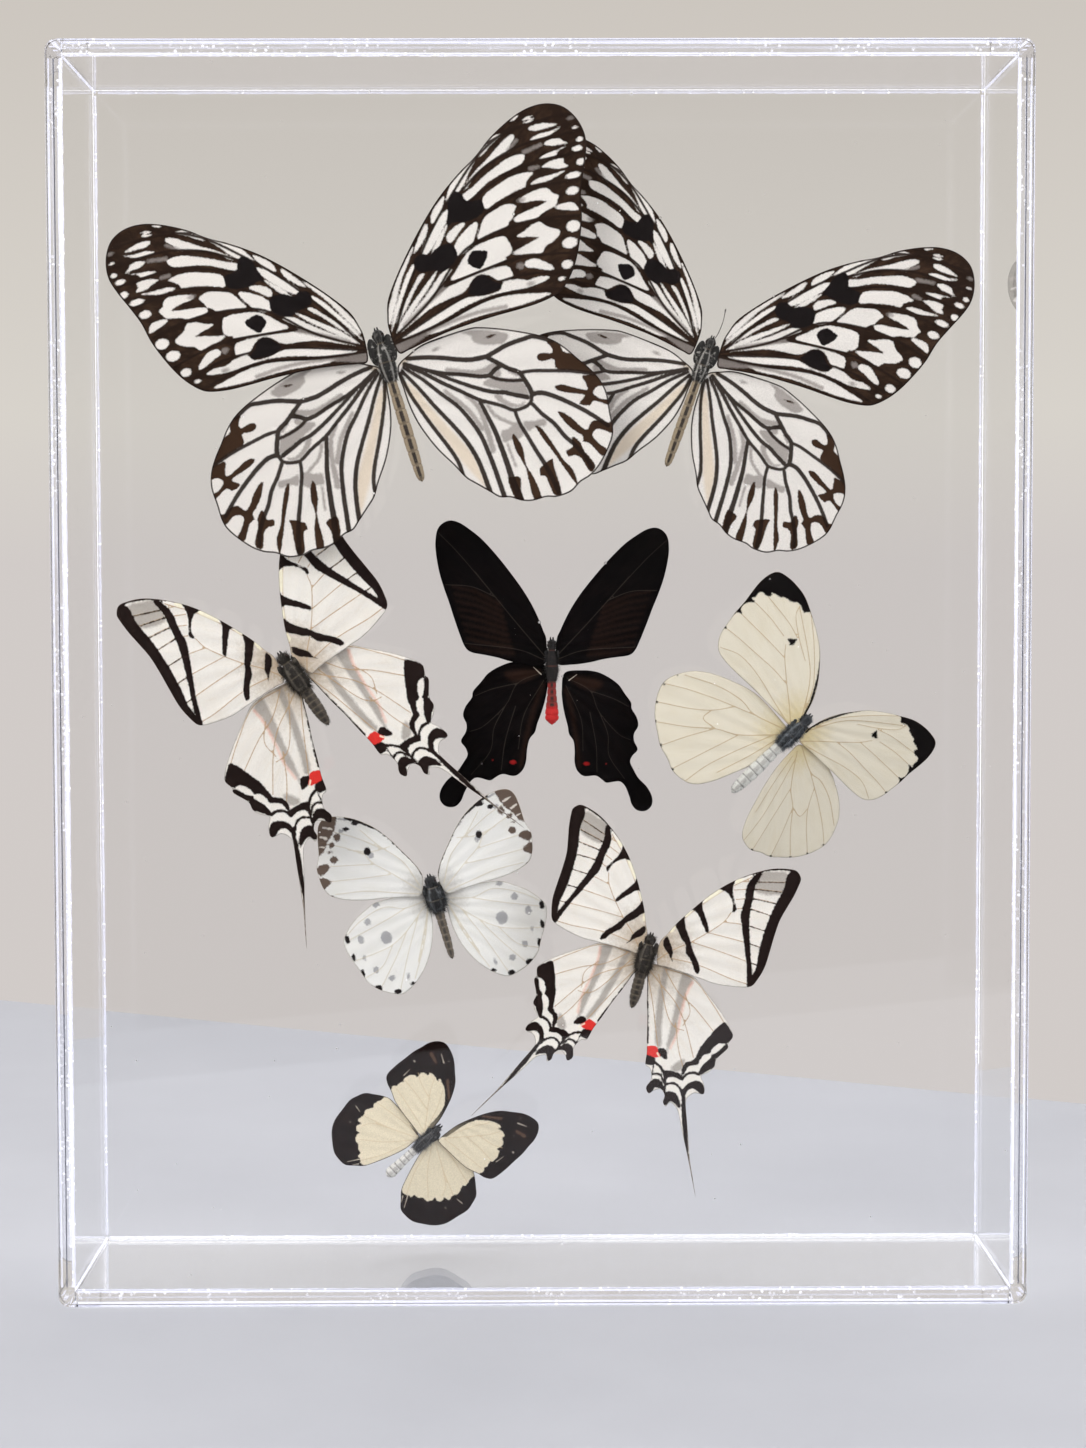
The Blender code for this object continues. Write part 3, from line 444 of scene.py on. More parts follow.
            spot(12, 1.7, 0.9, 0.4), line(0.6, 0.8, (13, -3.6), (19, -6.2), (23.6, -6)),
            area((22.8, -8.2), (23.6, -8.4), (24.6, -9.2), (27, -10), (28.6, -11.4), (29.2, -14.4),
                 (28, -14.4), (25.8, -13),
                 (22.4, -11), (19.8, -9.2), (20.8, -8.4)),
            area((22.6, -7.9), (24.2, -7), (24.6, -8), (23.8, -8.8)),
            line(0.3, 0.4, (26.4, -8), (27.8, -9.4)),
            area((21.4, -12.2), (22.8, -12.4), (23.6, -14), (26, -15.9), (27.8, -15.6), (27, -16.6),
                 (24.6, -16.2), (22, -14)),
            line(0.5, 0.7, (15.2, -10.2), (17, -13.4), (17.4, -18), (17.2, -24)),
            line(0.5, 0.6, (11, -8), (14.6, -13.6), (16.4, -18.6)),
            area((20.2, -20.6), (22, -20.4), (24.6, -19.6), (25.2, -22.4), (23.6, -23.4), (22, -23),
                 (20.2, -23.2)),
            area((25.8, -20), (28.4, -20.6), (30.8, -20.8), (30.6, -22.4), (28, -22), (26.2, -22.4)),
            line(0.4, 0.4, (19.2, -14), (20.4, -17), (23.8, -20)), line(0.3, 0.3, (20.8, -24), (21, -29)),
        ],
    },
    ("swordtail", "fore"): {
        "vein": [
            line(0.1, 0.1, (2, 0), (5, 3.2), (8.7, 6.1), (12.2, 9.4), (15, 12.6), (16, 15)),
            line(0.1, 0.1, (3.4, 7), (7.2, 12.8), (12.6, 19), (18.6, 24)),
            line(0.1, 0.1, (8.8, 6.2), (15, 5.7), (22.4, 4.9), (24.6, 4.6)),
            line(0.1, 0.1, (12.2, 9.2), (20, 9.1), (24.6, 8.8)),
            line(0.1, 0.1, (15.2, 12.5), (20, 13), (24.6, 12.7)),
            line(0.1, 0.1, (17.2, 16.2), (20, 16.9), (24.8, 16.5)),
            line(0.1, 0.1, (16.4, 18.2), (20.5, 19.4), (25.6, 19.5)),
            line(0.1, 0.1, (15.4, 20.2), (20.4, 21.6), (26.2, 22.4)),
            line(0.1, 0.1, (17, 22.6), (20.8, 23.4), (26.6, 24.8)),
            line(0.1, 0.1, (5.2, 1.4), (10, 1.5), (14, 1.1), (20, 0.1), (24.6, -0.2)),
        ],
        "dark": [
            area((2.9, 6.1), (3.5, 5.8), (4.6, 4.2), (5.3, 3), (5.4, 1.6), (6, 0.5), (4.4, 2.2), (2.8, 3.8),
                 (2.5, 5)),
            area((4, 9.6), (4.8, 10.8), (5.8, 11.8), (6.4, 9.8), (7.6, 7.8), (8.6, 6.4), (9.4, 4.8),
                 (10.6, 3.2), (12, 1.4),
                 (12.4, -0.6), (11.4, -0.4), (10.4, 1.2), (9.4, 2.4), (8.2, 3.5), (7.7, 5.2), (6.4, 6.4),
                 (5, 8.2)),
            area((6.4, 13.6), (7.4, 15.2), (8.9, 16.6), (9.2, 14.8), (10.4, 12.8), (11.4, 11.2),
                 (12.1, 9.8), (11.7, 9),
                 (9.8, 11.4), (8.4, 13), (7.8, 13.4)),
            area((11.8, 19.6), (12.4, 21), (14.2, 22.4), (15.2, 23), (15, 20.4), (16.2, 17.6), (17.1, 16),
                 (16.2, 15), (16, 16.8),
                 (14.9, 18.4), (13.6, 19.4)),
            area((18, 21.4), (18.4, 23.2), (19.4, 25), (20.8, 25.6), (20, 22.5), (20.1, 19.4), (20.3, 16),
                 (20.9, 13),
                 (22, 9.4), (23.2, 5.6), (24.4, 2.2), (24.8, 0.4), (24, -0.8), (23.2, 1.8), (22.2, 5),
                 (20.8, 8.4),
                 (19.4, 12), (18.3, 15), (18.3, 18.4)),
            area((26.6, 26.9), (29.6, 28.2), (30.4, 25), (29, 21.4), (27.8, 16), (27.4, 12), (27.2, 6),
                 (26.4, 1), (24.4, -1.4),
                 (24.2, 1), (24.8, 3.8), (24.5, 8), (24.6, 13), (25.2, 18), (26.4, 23)),
            line(0.22, 0.3, (1.2, 4.4), (3, 7.8), (5.5, 11.8), (8.6, 16), (12, 20)),
            line(0.35, 0.5, (12, 20), (15, 22.7), (18, 24.8),
                                                                                (21.5, 26.6), (26, 27.9),
                 (29, 27.9)),
            line(0.12, 0.08, (20, 21.5), (26, 22.3)), line(0.12, 0.08, (20, 19.3), (25.4, 19.4)),
            line(0.12, 0.08, (20, 16.8), (25, 16.5)), line(0.12, 0.08, (20, 13), (25, 12.7)),
            line(0.12, 0.08, (21, 9.1), (25, 8.8)),
            line(0.12, 0.08, (22.4, 4.9), (25, 4.6)), line(0.12, 0.08, (20, 23.2), (26.4, 24.7)),
        ],
        "light": [area((3.4, 7.2), (4.1, 9), (4.5, 8.4), (4, 7)),
                  area((5.6, 11.6), (6.4, 13), (7.3, 13.2), (6.4, 11.6)),
                  area((9.3, 15.6), (9.4, 16.8), (11.4, 19.2), (12.8, 19.5), (12.6, 19), (10.6, 16.8)),
                  area((15.2, 21.6), (15.2, 22.6), (16.4, 23.2), (16.8, 22.9), (16, 22))],
        "grey": [area((20.4, 25.4), (23, 26.4), (26.6, 26.8), (26.2, 22), (20.2, 21))],
    },
    ("swordtail", "hind"): {
        "vein": [
            line(0.1, 0.1, (1.4, -2.4), (5, -5.2), (9.4, -8.4), (12.8, -12.6), (16.6, -19.4)),
            line(0.1, 0.1, (5.4, -2), (9.4, -6), (14, -8.6), (20, -13)),
            line(0.1, 0.1, (4, -3.2), (8, -11), (10.4, -13.6), (12.8, -14)),
            line(0.1, 0.1, (10.6, -12.8), (12.6, -18), (14.8, -22)),
            line(0.1, 0.1, (1.4, -3.4), (4, -9), (6, -14), (8, -19)),
            line(0.1, 0.1, (5, -1.6), (12, -2.4), (18, -7), (21.6, -10.4)),
            line(0.1, 0.1, (12.4, -13), (13.2, -9.6), (11, -6)),
        ],
        "dark": [
            line(0.18, 0.25, (1.4, -4), (2.6, -8), (4, -13), (5.4, -18.4)),
            area((21.8, -10.2), (23, -11.2), (24.5, -13), (23.4, -14.9), (21.8, -15), (20.4, -16.6),
                 (20.2, -17.8),
                 (19, -18.2), (18.2, -19.6), (18, -20.8), (16.8, -21.2), (15.8, -22), (15.2, -24.2),
                 (14.6, -22.6), (15, -21),
                 (16.8, -19.8), (17.6, -16.8), (18.8, -14.4), (20, -12.2), (21, -10.8)),
            area((23.4, -14.9), (24.2, -15.8), (22.8, -17.8), (21.2, -18.8), (20.4, -18.2), (21.8, -17),
                 (22.6, -15.8)),
            area((20.6, -18.6), (22, -18.8), (22.3, -20.2), (20.8, -21.4), (19.4, -22.8), (18.6, -23),
                 (19, -20.9), (19.8, -19.6)),
            line(0.25, 0.35, (15.3, -24.8), (16, -23.4), (17.4, -22.7), (18.8, -22.8)),
            area((16, -27.8), (16.4, -25.8), (17.8, -24.6), (19.6, -24.3), (21, -25.6), (21.2, -26.9),
                 (20, -26.9), (18.8, -26.2),
                 (17.4, -26.5), (16.8, -28)),
            line(0.35, 0.65, (16.2, -27), (17, -29.8), (18.1, -33.2)),
            line(0.65, 0.04, (18.1, -33.2), (19.4, -37), (20.6, -40.6),
                                                                    (21.9, -43.8), (23.3, -46.8)),
            line(0.3, 0.3, (8.2, -22.3), (9.4, -22.9), (10.6, -24), (11.3, -25.4), (11.8, -27.4),
                 (12, -29)),
            area((10.4, -24), (11.6, -23.4), (13.4, -23.4), (14.8, -23.6), (15.4, -25), (13.4, -24.6),
                 (12, -25), (11.5, -26)),
            line(0.25, 0.3, (11.8, -26.7), (13, -26), (14.4, -26.1), (15.6, -27.1), (16.5, -28.6)),
            area((11.8, -30.8), (12, -28.4), (13.2, -27.8), (14.6, -28), (15.8, -29.2), (16.6, -31.2),
                 (15.2, -30.4),
                 (13.8, -29.9), (13.1, -31)),
            line(0.25, 0.25, (8.3, -25), (9.3, -24.6), (10.4, -25), (11.3, -26.2)),
            area((6.9, -27), (7.8, -26.8), (8.7, -26), (9.8, -25.7), (11, -26.3), (12, -28.2),
                 (10.8, -27.7), (9.5, -27.8),
                 (8.8, -29.4), (7.2, -28.8)),
            line(0.12, 0.15, (8, -22.6), (8.1, -25.6)), area((5, -20.5), (7.8, -21.2), (8.1, -22.9),
                                                             (6.6, -23.2), (5.2, -22.8)),
            area((8, -19.2), (9.4, -18.8), (10.2, -19.4), (10.8, -21.1), (9.6, -21), (8.3, -20.2)),
        ],
        "red": [area((4.8, -19.6), (6.2, -18.9), (7.6, -18.8), (8.2, -19.8), (9.1, -20.9), (7.4, -21.2),
                     (4.8, -20.6))],
        "light": [line(0.2, 0.08, (8.2, -20.2), (9.2, -21.4))],
        "grey": [
            area((4.8, -1), (6, -1.2), (6.3, -5), (6.8, -9), (7.8, -15), (8.6, -18.6), (7.2, -18.4),
                 (6, -14), (5.2, -9),
                 (4.8, -5)),
            area((9.4, -1.4), (11, -2), (12.2, -3), (11.4, -5), (11.3, -8), (11, -12), (11.4, -15),
                 (10.6, -18), (10.4, -20),
                 (9.8, -18), (9.6, -12), (9.2, -6)),
            area((12, -22.6), (14, -20.4), (14.9, -20.6), (14.6, -22.6), (13, -23.4)),
        ],
        "pink": [line(0.3, 0.25, (12.1, -3.2), (11.4, -6), (11.3, -11), (11.5, -15), (10.8, -18.5))],
    },
    ("black", "fore"): {
        "vein": [
            line(0.12, 0.1, (1.5, 2), (8, 9.5), (15.4, 18.4), (18, 21.6)),
            line(0.1, 0.1, (15.4, 18.4), (22, 26), (26.6, 30.6)),
            line(0.1, 0.1, (1.5, 1), (8, 3.4), (20.2, 4.6)),
            line(0.1, 0.1, (13, 15.6), (18.6, 18), (24.8, 18.4)),
        ],
        "grey": [line(0.3, 0.1, (9 + 0.4 * k, 2.4 + 1.45 * k), (14 + 0.5 * k, 2.9 + 1.75 * k),
                      (19 + 0.5 * k, 4 + 1.75 * k))
                 for k in range(9)],
        "light": [spot(4.2, 2.6, 0.14, 0.12), spot(11.4, 15.2, 0.13, 0.13), spot(8.6, 8.4, 0.1, 0.1)],
    },
    ("black", "hind"): {
        "vein": [
            line(0.1, 0.08, (2, -2), (8, -4.6), (10.8, -9.6), (16, -14.6), (19.4, -16)),
            line(0.1, 0.08, (10.8, -9.6), (13.6, -15), (14.6, -20.6), (19, -26)),
            line(0.1, 0.08, (2, -4), (6.6, -12), (8, -20)),
            line(0.1, 0.08, (8, -4.6), (14, -6), (18, -7.6)),
            line(0.1, 0.08, (8.6, -10), (11, -18), (12, -25)),
        ],
        "grey": [line(0.4, 0.3, (2.2, -5), (4.4, -11), (6.4, -19), (7.4, -24)),
                 area((3, -1.6), (8, -1.4), (11, -2.4), (9, -4.4), (5, -3.6))],
        "red": [spot(9.2, -23.1, 0.75, 0.5), spot(14, -22.6, 0.2, 0.2)],
        "light": [line(0.12, 0.05, (2.6, -2.6), (4.4, -0.9)), spot(12.4, -10.6, 0.12, 0.12),
                  spot(14.3, -20.4, 0.1, 0.1), spot(5.2, -7.4, 0.1, 0.1)],
    },
    ("white", "fore"): {
        "vein": [
            line(0.13, 0.1, (1.4, 0.4), (5.2, 4), (9.2, 7.4), (13.8, 11.6), (15.8, 14.1)),
            line(0.1, 0.1, (17.6, 15.3), (22.6, 16.2), (27.7, 16.5)),
            line(0.1, 0.1, (13.8, 11.6), (19.3, 12), (28.4, 12.3)),
            line(0.1, 0.1, (9.2, 7.4), (14, 7.9), (19.3, 7.8), (25.1, 7.7), (28.8, 7.4)),
            line(0.1, 0.1, (15, 17.2), (19.3, 18.5), (26.7, 19.6)),
            line(0.12, 0.1, (1.6, 4.6), (5.6, 11.4), (10, 15.8), (19.3, 22.7)),
            line(0.1, 0.1, (2, 6.4), (4.8, 11.9), (10.6, 18.3), (16.1, 23.2)),
            line(0.1, 0.1, (9.8, 14.4), (14.6, 17.4), (18.6, 20.6), (19.6, 23)),
            line(0.1, 0.1, (1.6, 0.6), (8, 2.2), (16, 4.4), (22, 4.9), (26.6, 3.2)),
            line(0.1, 0.1, (1.6, 0.2), (7, 0.8), (14, 0.9)),
        ],
        "dark": [
            area((15.4, 23.1), (16, 23.3), (16.9, 23.6), (17.7, 22.6), (18.5, 22.8), (19.5, 23.2),
                 (20.6, 23.2), (21.1, 22.7),
                 (22.2, 22.3), (23.8, 22), (24.2, 21.4), (25.5, 21.2), (26.6, 20.8), (26.1, 20.3),
                 (26.7, 19.5), (28.4, 19.4),
                 (28.8, 18.7), (28.7, 17.4), (29.1, 16.7), (27.7, 16.6), (28.5, 16), (29.2, 15.1),
                 (29.5, 13.8), (29.1, 12.9),
                 (28.3, 12.3), (29.4, 11.9), (29.7, 10.2), (31, 10), (32, 20), (30, 28), (20, 29),
                 (14, 25)),
            line(0.3, 0.32, (1.2, 3.6), (1.5, 6), (3, 9.9), (6.3, 15.7), (10, 20.1), (15, 23.6)),
            area((14.7, 16.9), (15.5, 16.2), (16.4, 15.6), (16.1, 15.1), (15.4, 15.1), (15.1, 14.5),
                 (14.7, 15.1), (14.3, 15.1),
                 (14.6, 15.8)), spot(29, 7.4, 0.35, 0.35),
        ],
    },
    ("white", "hind"): {
        "vein": [
            line(0.12, 0.1, (2, 0), (9.5, -2.7), (14, -2.6), (20, -4.2), (27, -7.8)),
            line(0.1, 0.1, (9.5, -2.8), (17, -6), (24, -9.5), (29, -12.6)),
            line(0.1, 0.1, (14, -4.8), (17, -9), (21, -12.5), (27, -16.6)),
            line(0.12, 0.1, (2, -1.5), (8.5, -8.3), (13.3, -11.3), (18, -15.5), (24, -20)),
            line(0.12, 0.12, (13.3, -11.3), (17, -11.7), (17, -9)),
            line(0.1, 0.1, (13.5, -11.5), (16.5, -17), (19.3, -23)),
            line(0.1, 0.1, (8.7, -8.5), (11, -16), (13.7, -24.8)),
            line(0.1, 0.1, (3, -2.4), (6, -10), (8.6, -18), (9.6, -24.4)),
            line(0.1, 0.1, (2, -3), (3.6, -10), (6, -18)),
        ],
        "dark": [spot(28.9, -12.7, 0.4, 0.3), spot(27.1, -16.7, 0.35, 0.3), spot(24, -20, 0.4, 0.35),
                 spot(19.3, -22.9, 0.45, 0.35),
                 spot(13.6, -24.8, 0.4, 0.35), spot(28.1, -9, 0.2, 0.2)],
    },
    ("spotted", "fore"): {
        "vein": [
            line(0.12, 0.1, (2.6, 2.4), (8.4, 6.6), (12.6, 9.4), (14.4, 11.6)),
            line(0.1, 0.1, (14.4, 11.6), (19, 13.6), (24, 15)),
            line(0.1, 0.1, (12.4, 9.2), (18, 9.4), (24.6, 9.6)),
            line(0.1, 0.1, (9, 6.6), (16, 6.2), (24.4, 6)),
            line(0.12, 0.1, (2.6, 3.6), (6, 9.4), (11, 13.4), (15, 17.4)),
            line(0.1, 0.1, (10.6, 12.8), (16, 15.6), (21, 17.4)),
            line(0.12, 0.1, (2.8, 1.6), (9, 2.4), (15, 3.2), (22, 3)),
            line(0.1, 0.1, (8.6, 13), (13, 12.2), (18, 13)),
        ],
        "dark": [
            line(0.35, 0.2, (0.9, 4.3), (2.9, 8.3), (5.6, 11.5), (8.5, 14.7)),
            line(0.2, 0.35, (8.5, 14.7), (11.5, 17.3), (14.9, 19.1),
                                                                           (18.1, 20.4)),
            spot(16, 19, 0.9, 0.5), spot(18.2, 17.8, 0.8, 0.5), spot(13.8, 12.3, 0.75, 0.95),
        ],
        "brown": [
            area((20.2, 21.2), (22.7, 21.4), (25, 19.3), (25.4, 16.9), (25.6, 12.2), (24.8, 12.2),
                 (23.7, 13.1), (22.7, 15),
                 (21.3, 17.1), (20.5, 19)),
            spot(20.4, 16.1, 0.8, 0.95), spot(21.8, 14.4, 0.7, 0.6), spot(22.3, 12.8, 0.6, 0.3),
            spot(21.6, 11, 0.9, 0.85),
            area((22.6, 9.4), (23.6, 10.2), (25.2, 9.8), (26, 8.6), (24.8, 7.5), (23.8, 8.1)),
            area((22.6, 5.8), (23.8, 6.8), (25.4, 7), (25.6, 5.6), (24.6, 4.2), (23.6, 5)),
            spot(22.9, 2.5, 0.35, 0.25),
        ],
        "light": [line(0.3, 0.15, (21.5, 18.1), (23.4, 18.6)), line(0.3, 0.2, (22.8, 16), (24.2, 16.5)),
                  line(0.2, 0.1, (23.6, 14), (24.6, 14.2))],
        "grey": [spot(13.1, 11.4, 0.65, 0.75), spot(19.4, 17.4, 0.6, 0.5),
                 line(0.25, 0.2, (18.1, 20), (20.2, 20.4))],
    },
    ("spotted", "hind"): {
        "vein": [
            line(0.1, 0.1, (2.6, -0.6), (8, -1.6), (13, -0.6), (19, -2.8), (23, -5.6)),
            line(0.1, 0.1, (7.6, -1.6), (14, -4), (23, -7)),
            line(0.1, 0.1, (2.6, -1.4), (8, -6.6), (12.4, -9.6), (17, -11), (22.4, -12)),
            line(0.1, 0.1, (12.4, -9.6), (16, -14.4), (20.6, -16.4)),
            line(0.1, 0.1, (8.4, -7), (12.4, -13), (17, -19)),
            line(0.1, 0.1, (5, -4), (9, -12), (12.6, -20.4)),
            line(0.12, 0.1, (2.4, -3), (4.6, -10), (8.6, -18.4)),
            line(0.15, 0.1, (2.2, -2), (4, -7), (7, -14.4)),
        ],
        "dark": [spot(23.3, -6.7, 0.6, 1.1), spot(22.5, -11.1, 0.5, 1.0), spot(21.1, -15.4, 0.6, 1.05),
                 spot(17.9, -19.3, 0.95, 0.8),
                 spot(13.4, -20.8, 0.95, 0.6), spot(9.3, -19.4, 0.7, 0.45)],
        "grey": [spot(14.7, 0.3, 0.85, 0.6), spot(17.5, -3.4, 0.85, 0.8), spot(20, -7.3, 0.75, 1.0),
                 spot(13.7, -7.7, 1.4, 1.5),
                 spot(20, -11.7, 0.4, 0.6), spot(17.7, -14.9, 0.7, 0.8), spot(14.2, -17.4, 0.8, 0.7),
                 spot(10.1, -17.5, 0.4, 0.8)],
    },
    ("bordered", "fore"): {
        "vein": [
            line(0.12, 0.1, (2, 1), (5, 4.6), (8, 8.4), (9.4, 11)),
            line(0.1, 0.1, (5, 4.6), (9.4, 5.2), (14, 5.4)),
            line(0.1, 0.1, (6.6, 6.8), (10.6, 7.8), (13, 9)),
            line(0.1, 0.1, (2, 0.6), (7, 1.6), (13.6, 2.6)), line(0.1, 0.1, (2, 2), (4, 7), (6, 10.6)),
        ],
        "cream": [area((1.8, 1.2), (2.3, 5.3), (3.2, 8.3), (4.9, 10.1), (6.4, 11.2), (8.4, 11.9),
                       (8.6, 11.4), (8.2, 10.9), (9.8, 11.4),
                       (11.2, 11), (10.8, 10.2), (12, 10.1), (12.6, 8.9), (12.2, 8), (13.2, 8), (14.1, 6.7),
                       (14.1, 5.3), (13.7, 5),
                       (14.2, 4.1), (14.1, 3.1), (14.7, 2.4), (14.3, 1.2), (14.3, -1.4), (9.8, -1.6),
                       (2, -1.4), (0, -1))],
        "light": [line(0.14, 0.05, (10.6, 15.1), (12.6, 16.1)), spot(10.1, 16.2, 0.2, 0.15),
                  spot(15.6, 10.2, 0.3, 0.2),
                  line(0.1, 0.04, (14.8, 6), (14.9, 8)), spot(12.4, 12.6, 0.15, 0.15)],
        "brown": [line(0.3, 0.4, (12, 13.8), (14.2, 14.4)), line(0.2, 0.3, (3.6, 10.2), (7, 13))],
    },
    ("bordered", "hind"): {
        "vein": [
            line(0.1, 0.1, (2, -1), (7, -1.6), (14, -3)), line(0.1, 0.1, (2, -2), (8, -5), (14, -7.4)),
            line(0.1, 0.1, (2, -3), (6, -8), (10.6, -12)),
            line(0.1, 0.1, (6, -4), (11, -7), (12.4, -9.4)), line(0.1, 0.1, (2, -4), (4, -10), (6.6, -15)),
        ],
        "cream": [area((0, 0.8), (6, 1), (14, 0.8), (14, -0.7), (13.7, -1.7), (14.1, -2.9), (14.2, -3.9),
                       (13.7, -4.4), (14.4, -5.8),
                       (14.4, -6.8), (13.9, -7.3), (14.2, -8.8), (14, -9.2), (12.8, -9.1), (13.3, -10),
                       (12.6, -11), (11.5, -10.8),
                       (11.7, -11.7), (10.9, -12.8), (9.8, -12.8), (9.2, -13.6), (7.9, -14), (7.9, -14.9),
                       (7, -14.9), (7.5, -16.3),
                       (6.8, -15.1), (5.6, -15.5), (3, -12), (0, -5))],
        "dark": [line(0.22, 0.05, (2, -1.1), (4.8, -0.9))],
        "light": [line(0.12, 0.05, (7, -15), (8.6, -17.6)), line(0.12, 0.05, (6.4, -16), (7.2, -17.2)),
                  spot(15, -10.8, 0.3, 0.15),
                  line(0.04, 0.1, (15.2, -7.4), (16.8, -7.2))],
    },
}


class Shade:
    """One value of a finish, written with the usual signs."""

    def __init__(self, finish, socket):
        self.finish = finish
        self.socket = socket

    def math(self, operation, *values, clamp=False):
        settings = {"operation": operation, "use_clamp": clamp}
        return self.finish.node("ShaderNodeMath", settings, dict(enumerate(values)))

    def __add__(self, other):
        return self.math("ADD", self, other)

    def __radd__(self, other):
        return self.math("ADD", other, self)

    def __sub__(self, other):
        return self.math("SUBTRACT", self, other)

    def __rsub__(self, other):
        return self.math("SUBTRACT", other, self)

    def __mul__(self, other):
        return self.math("MULTIPLY", self, other)

    def __rmul__(self, other):
        return self.math("MULTIPLY", other, self)

    def __truediv__(self, other):
        return self.math("DIVIDE", self, other)

    def clamped(self):
        return self.math("ADD", self, 0.0, clamp=True)


class Finish:
    """A material whose nodes are added one call at a time."""

    def __init__(self, name, **uniform):
        self.material = bpy.data.materials.new(name)
        self.material.use_nodes = True
        self.tree = self.material.node_tree
        self.shader = self.tree.nodes["Principled BSDF"]
        for socket, value in uniform.items():
            self.shader.inputs[socket.replace("_", " ")].default_value = value

    def node(self, kind, settings=None, inputs=None, output=0):
        """Adds a node: first its settings, then the values or links of its sockets."""
        node = self.tree.nodes.new(kind)
        for key, value in (settings or {}).items():
            setattr(node, key, value)
        for socket, value in (inputs or {}).items():
            self.give(node.inputs[socket], value)
        return Shade(self, node.outputs[output])

    def give(self, socket, value):
        if isinstance(value, Shade):
            self.tree.links.new(value.socket, socket)
        elif socket.type == "RGBA":
            socket.default_value = (*value, 1.0)
        else:
            socket.default_value = value

    def set(self, socket, value):
        self.give(self.shader.inputs[socket], value)

    def mix(self, amount, first, second, blend="MIX"):
        """The first colour turning into the second as the amount goes from 0 to 1."""
        settings = {"data_type": "RGBA", "blend_type": blend}
        return self.node("ShaderNodeMix", settings, {0: amount, 6: first, 7: second}, 2)

    def field(self, name, output="Fac"):
        return self.node("ShaderNodeAttribute", {"attribute_name": name}, None, output)

    def noise(self, where, scale, detail=2.0, roughness=0.5):
        inputs = {"Vector": where, "Scale": scale, "Detail": detail, "Roughness": roughness}
        return self.node("ShaderNodeTexNoise", None, inputs)

    def bump(self, height, strength, distance):
        inputs = {"Height": height, "Strength": strength, "Distance": distance}
        self.set("Normal", self.node("ShaderNodeBump", None, inputs))


def smooth_path(points, step, closed=False):
    """A Catmull-Rom curve through the points, sampled about every step."""
    points = np.array(points, float)
    if closed:
        padded = np.vstack([points[-1:], points, points[:2]])
    else:
        first, last = 2 * points[0] - points[1], 2 * points[-1] - points[-2]
        padded = np.vstack([first, points, last])
    runs = []
    for before, start, end, after in zip(padded, padded[1:], padded[2:], padded[3:]):
        count = max(2, round(float(np.linalg.norm(end - start)) / step))
        t = (np.arange(count) / count)[:, None]
        bend = (2 * before - 5 * start + 4 * end - after) * t ** 2
        twist = (3 * start - before - 3 * end + after) * t ** 3
        runs.append(0.5 * (2 * start + (end - before) * t + bend + twist))
    if not closed:
        runs.append(points[-1:])
    return np.vstack(runs)


def gap_to_line(places, path, start, end):
    """How far each place is from a stripe's edge; negative on the stripe."""
    widths = np.linspace(start, end, len(path))
    best = np.full(len(places), 1e3)
    for a, b, near, far in zip(path, path[1:], widths, widths[1:]):
        run = b - a
        offset = places - a
        t = np.clip(offset @ run / max(run @ run, 1e-9), 0, 1)
        gap = np.hypot(*(offset - t[:, None] * run).T) - (near + (far - near) * t)
        best = np.minimum(best, gap)
    return best


def within(places, loop):
    """Which places lie inside a closed loop."""
    inside = np.zeros(len(places), bool)
    x, y = places.T
    for (x0, y0), (x1, y1) in zip(loop, np.roll(loop, -1, axis=0)):
        if y0 == y1:
            continue
        crosses = (y0 > y) != (y1 > y)
        inside ^= crosses & (x < x0 + (y - y0) * (x1 - x0) / (y1 - y0))
    return inside


def gap_to_loop(places, loop):
    gap = gap_to_line(places, np.vstack([loop, loop[:1]]), 0.0, 0.0)
    return np.where(within(places, loop), -gap, gap)


def gap_to_mark(places, mark):
    if mark[0] == "line":
        return gap_to_line(places, smooth_path(mark[3], 0.9), mark[1], mark[2])
    if mark[0] == "area":
        return gap_to_loop(places, smooth_path(mark[1], 0.7, closed=True))
    middle_x, middle_y, half_length, half_height = mark[1:]
    offset = (places - (middle_x, middle_y)) / (half_length, half_height)
    return (np.hypot(*offset.T) - 1.0) * min(half_length, half_height)


FIELDS = ("vein", "dark", "brown", "light", "grey", "red", "pink", "cream", "tan")
FAR = 50.0


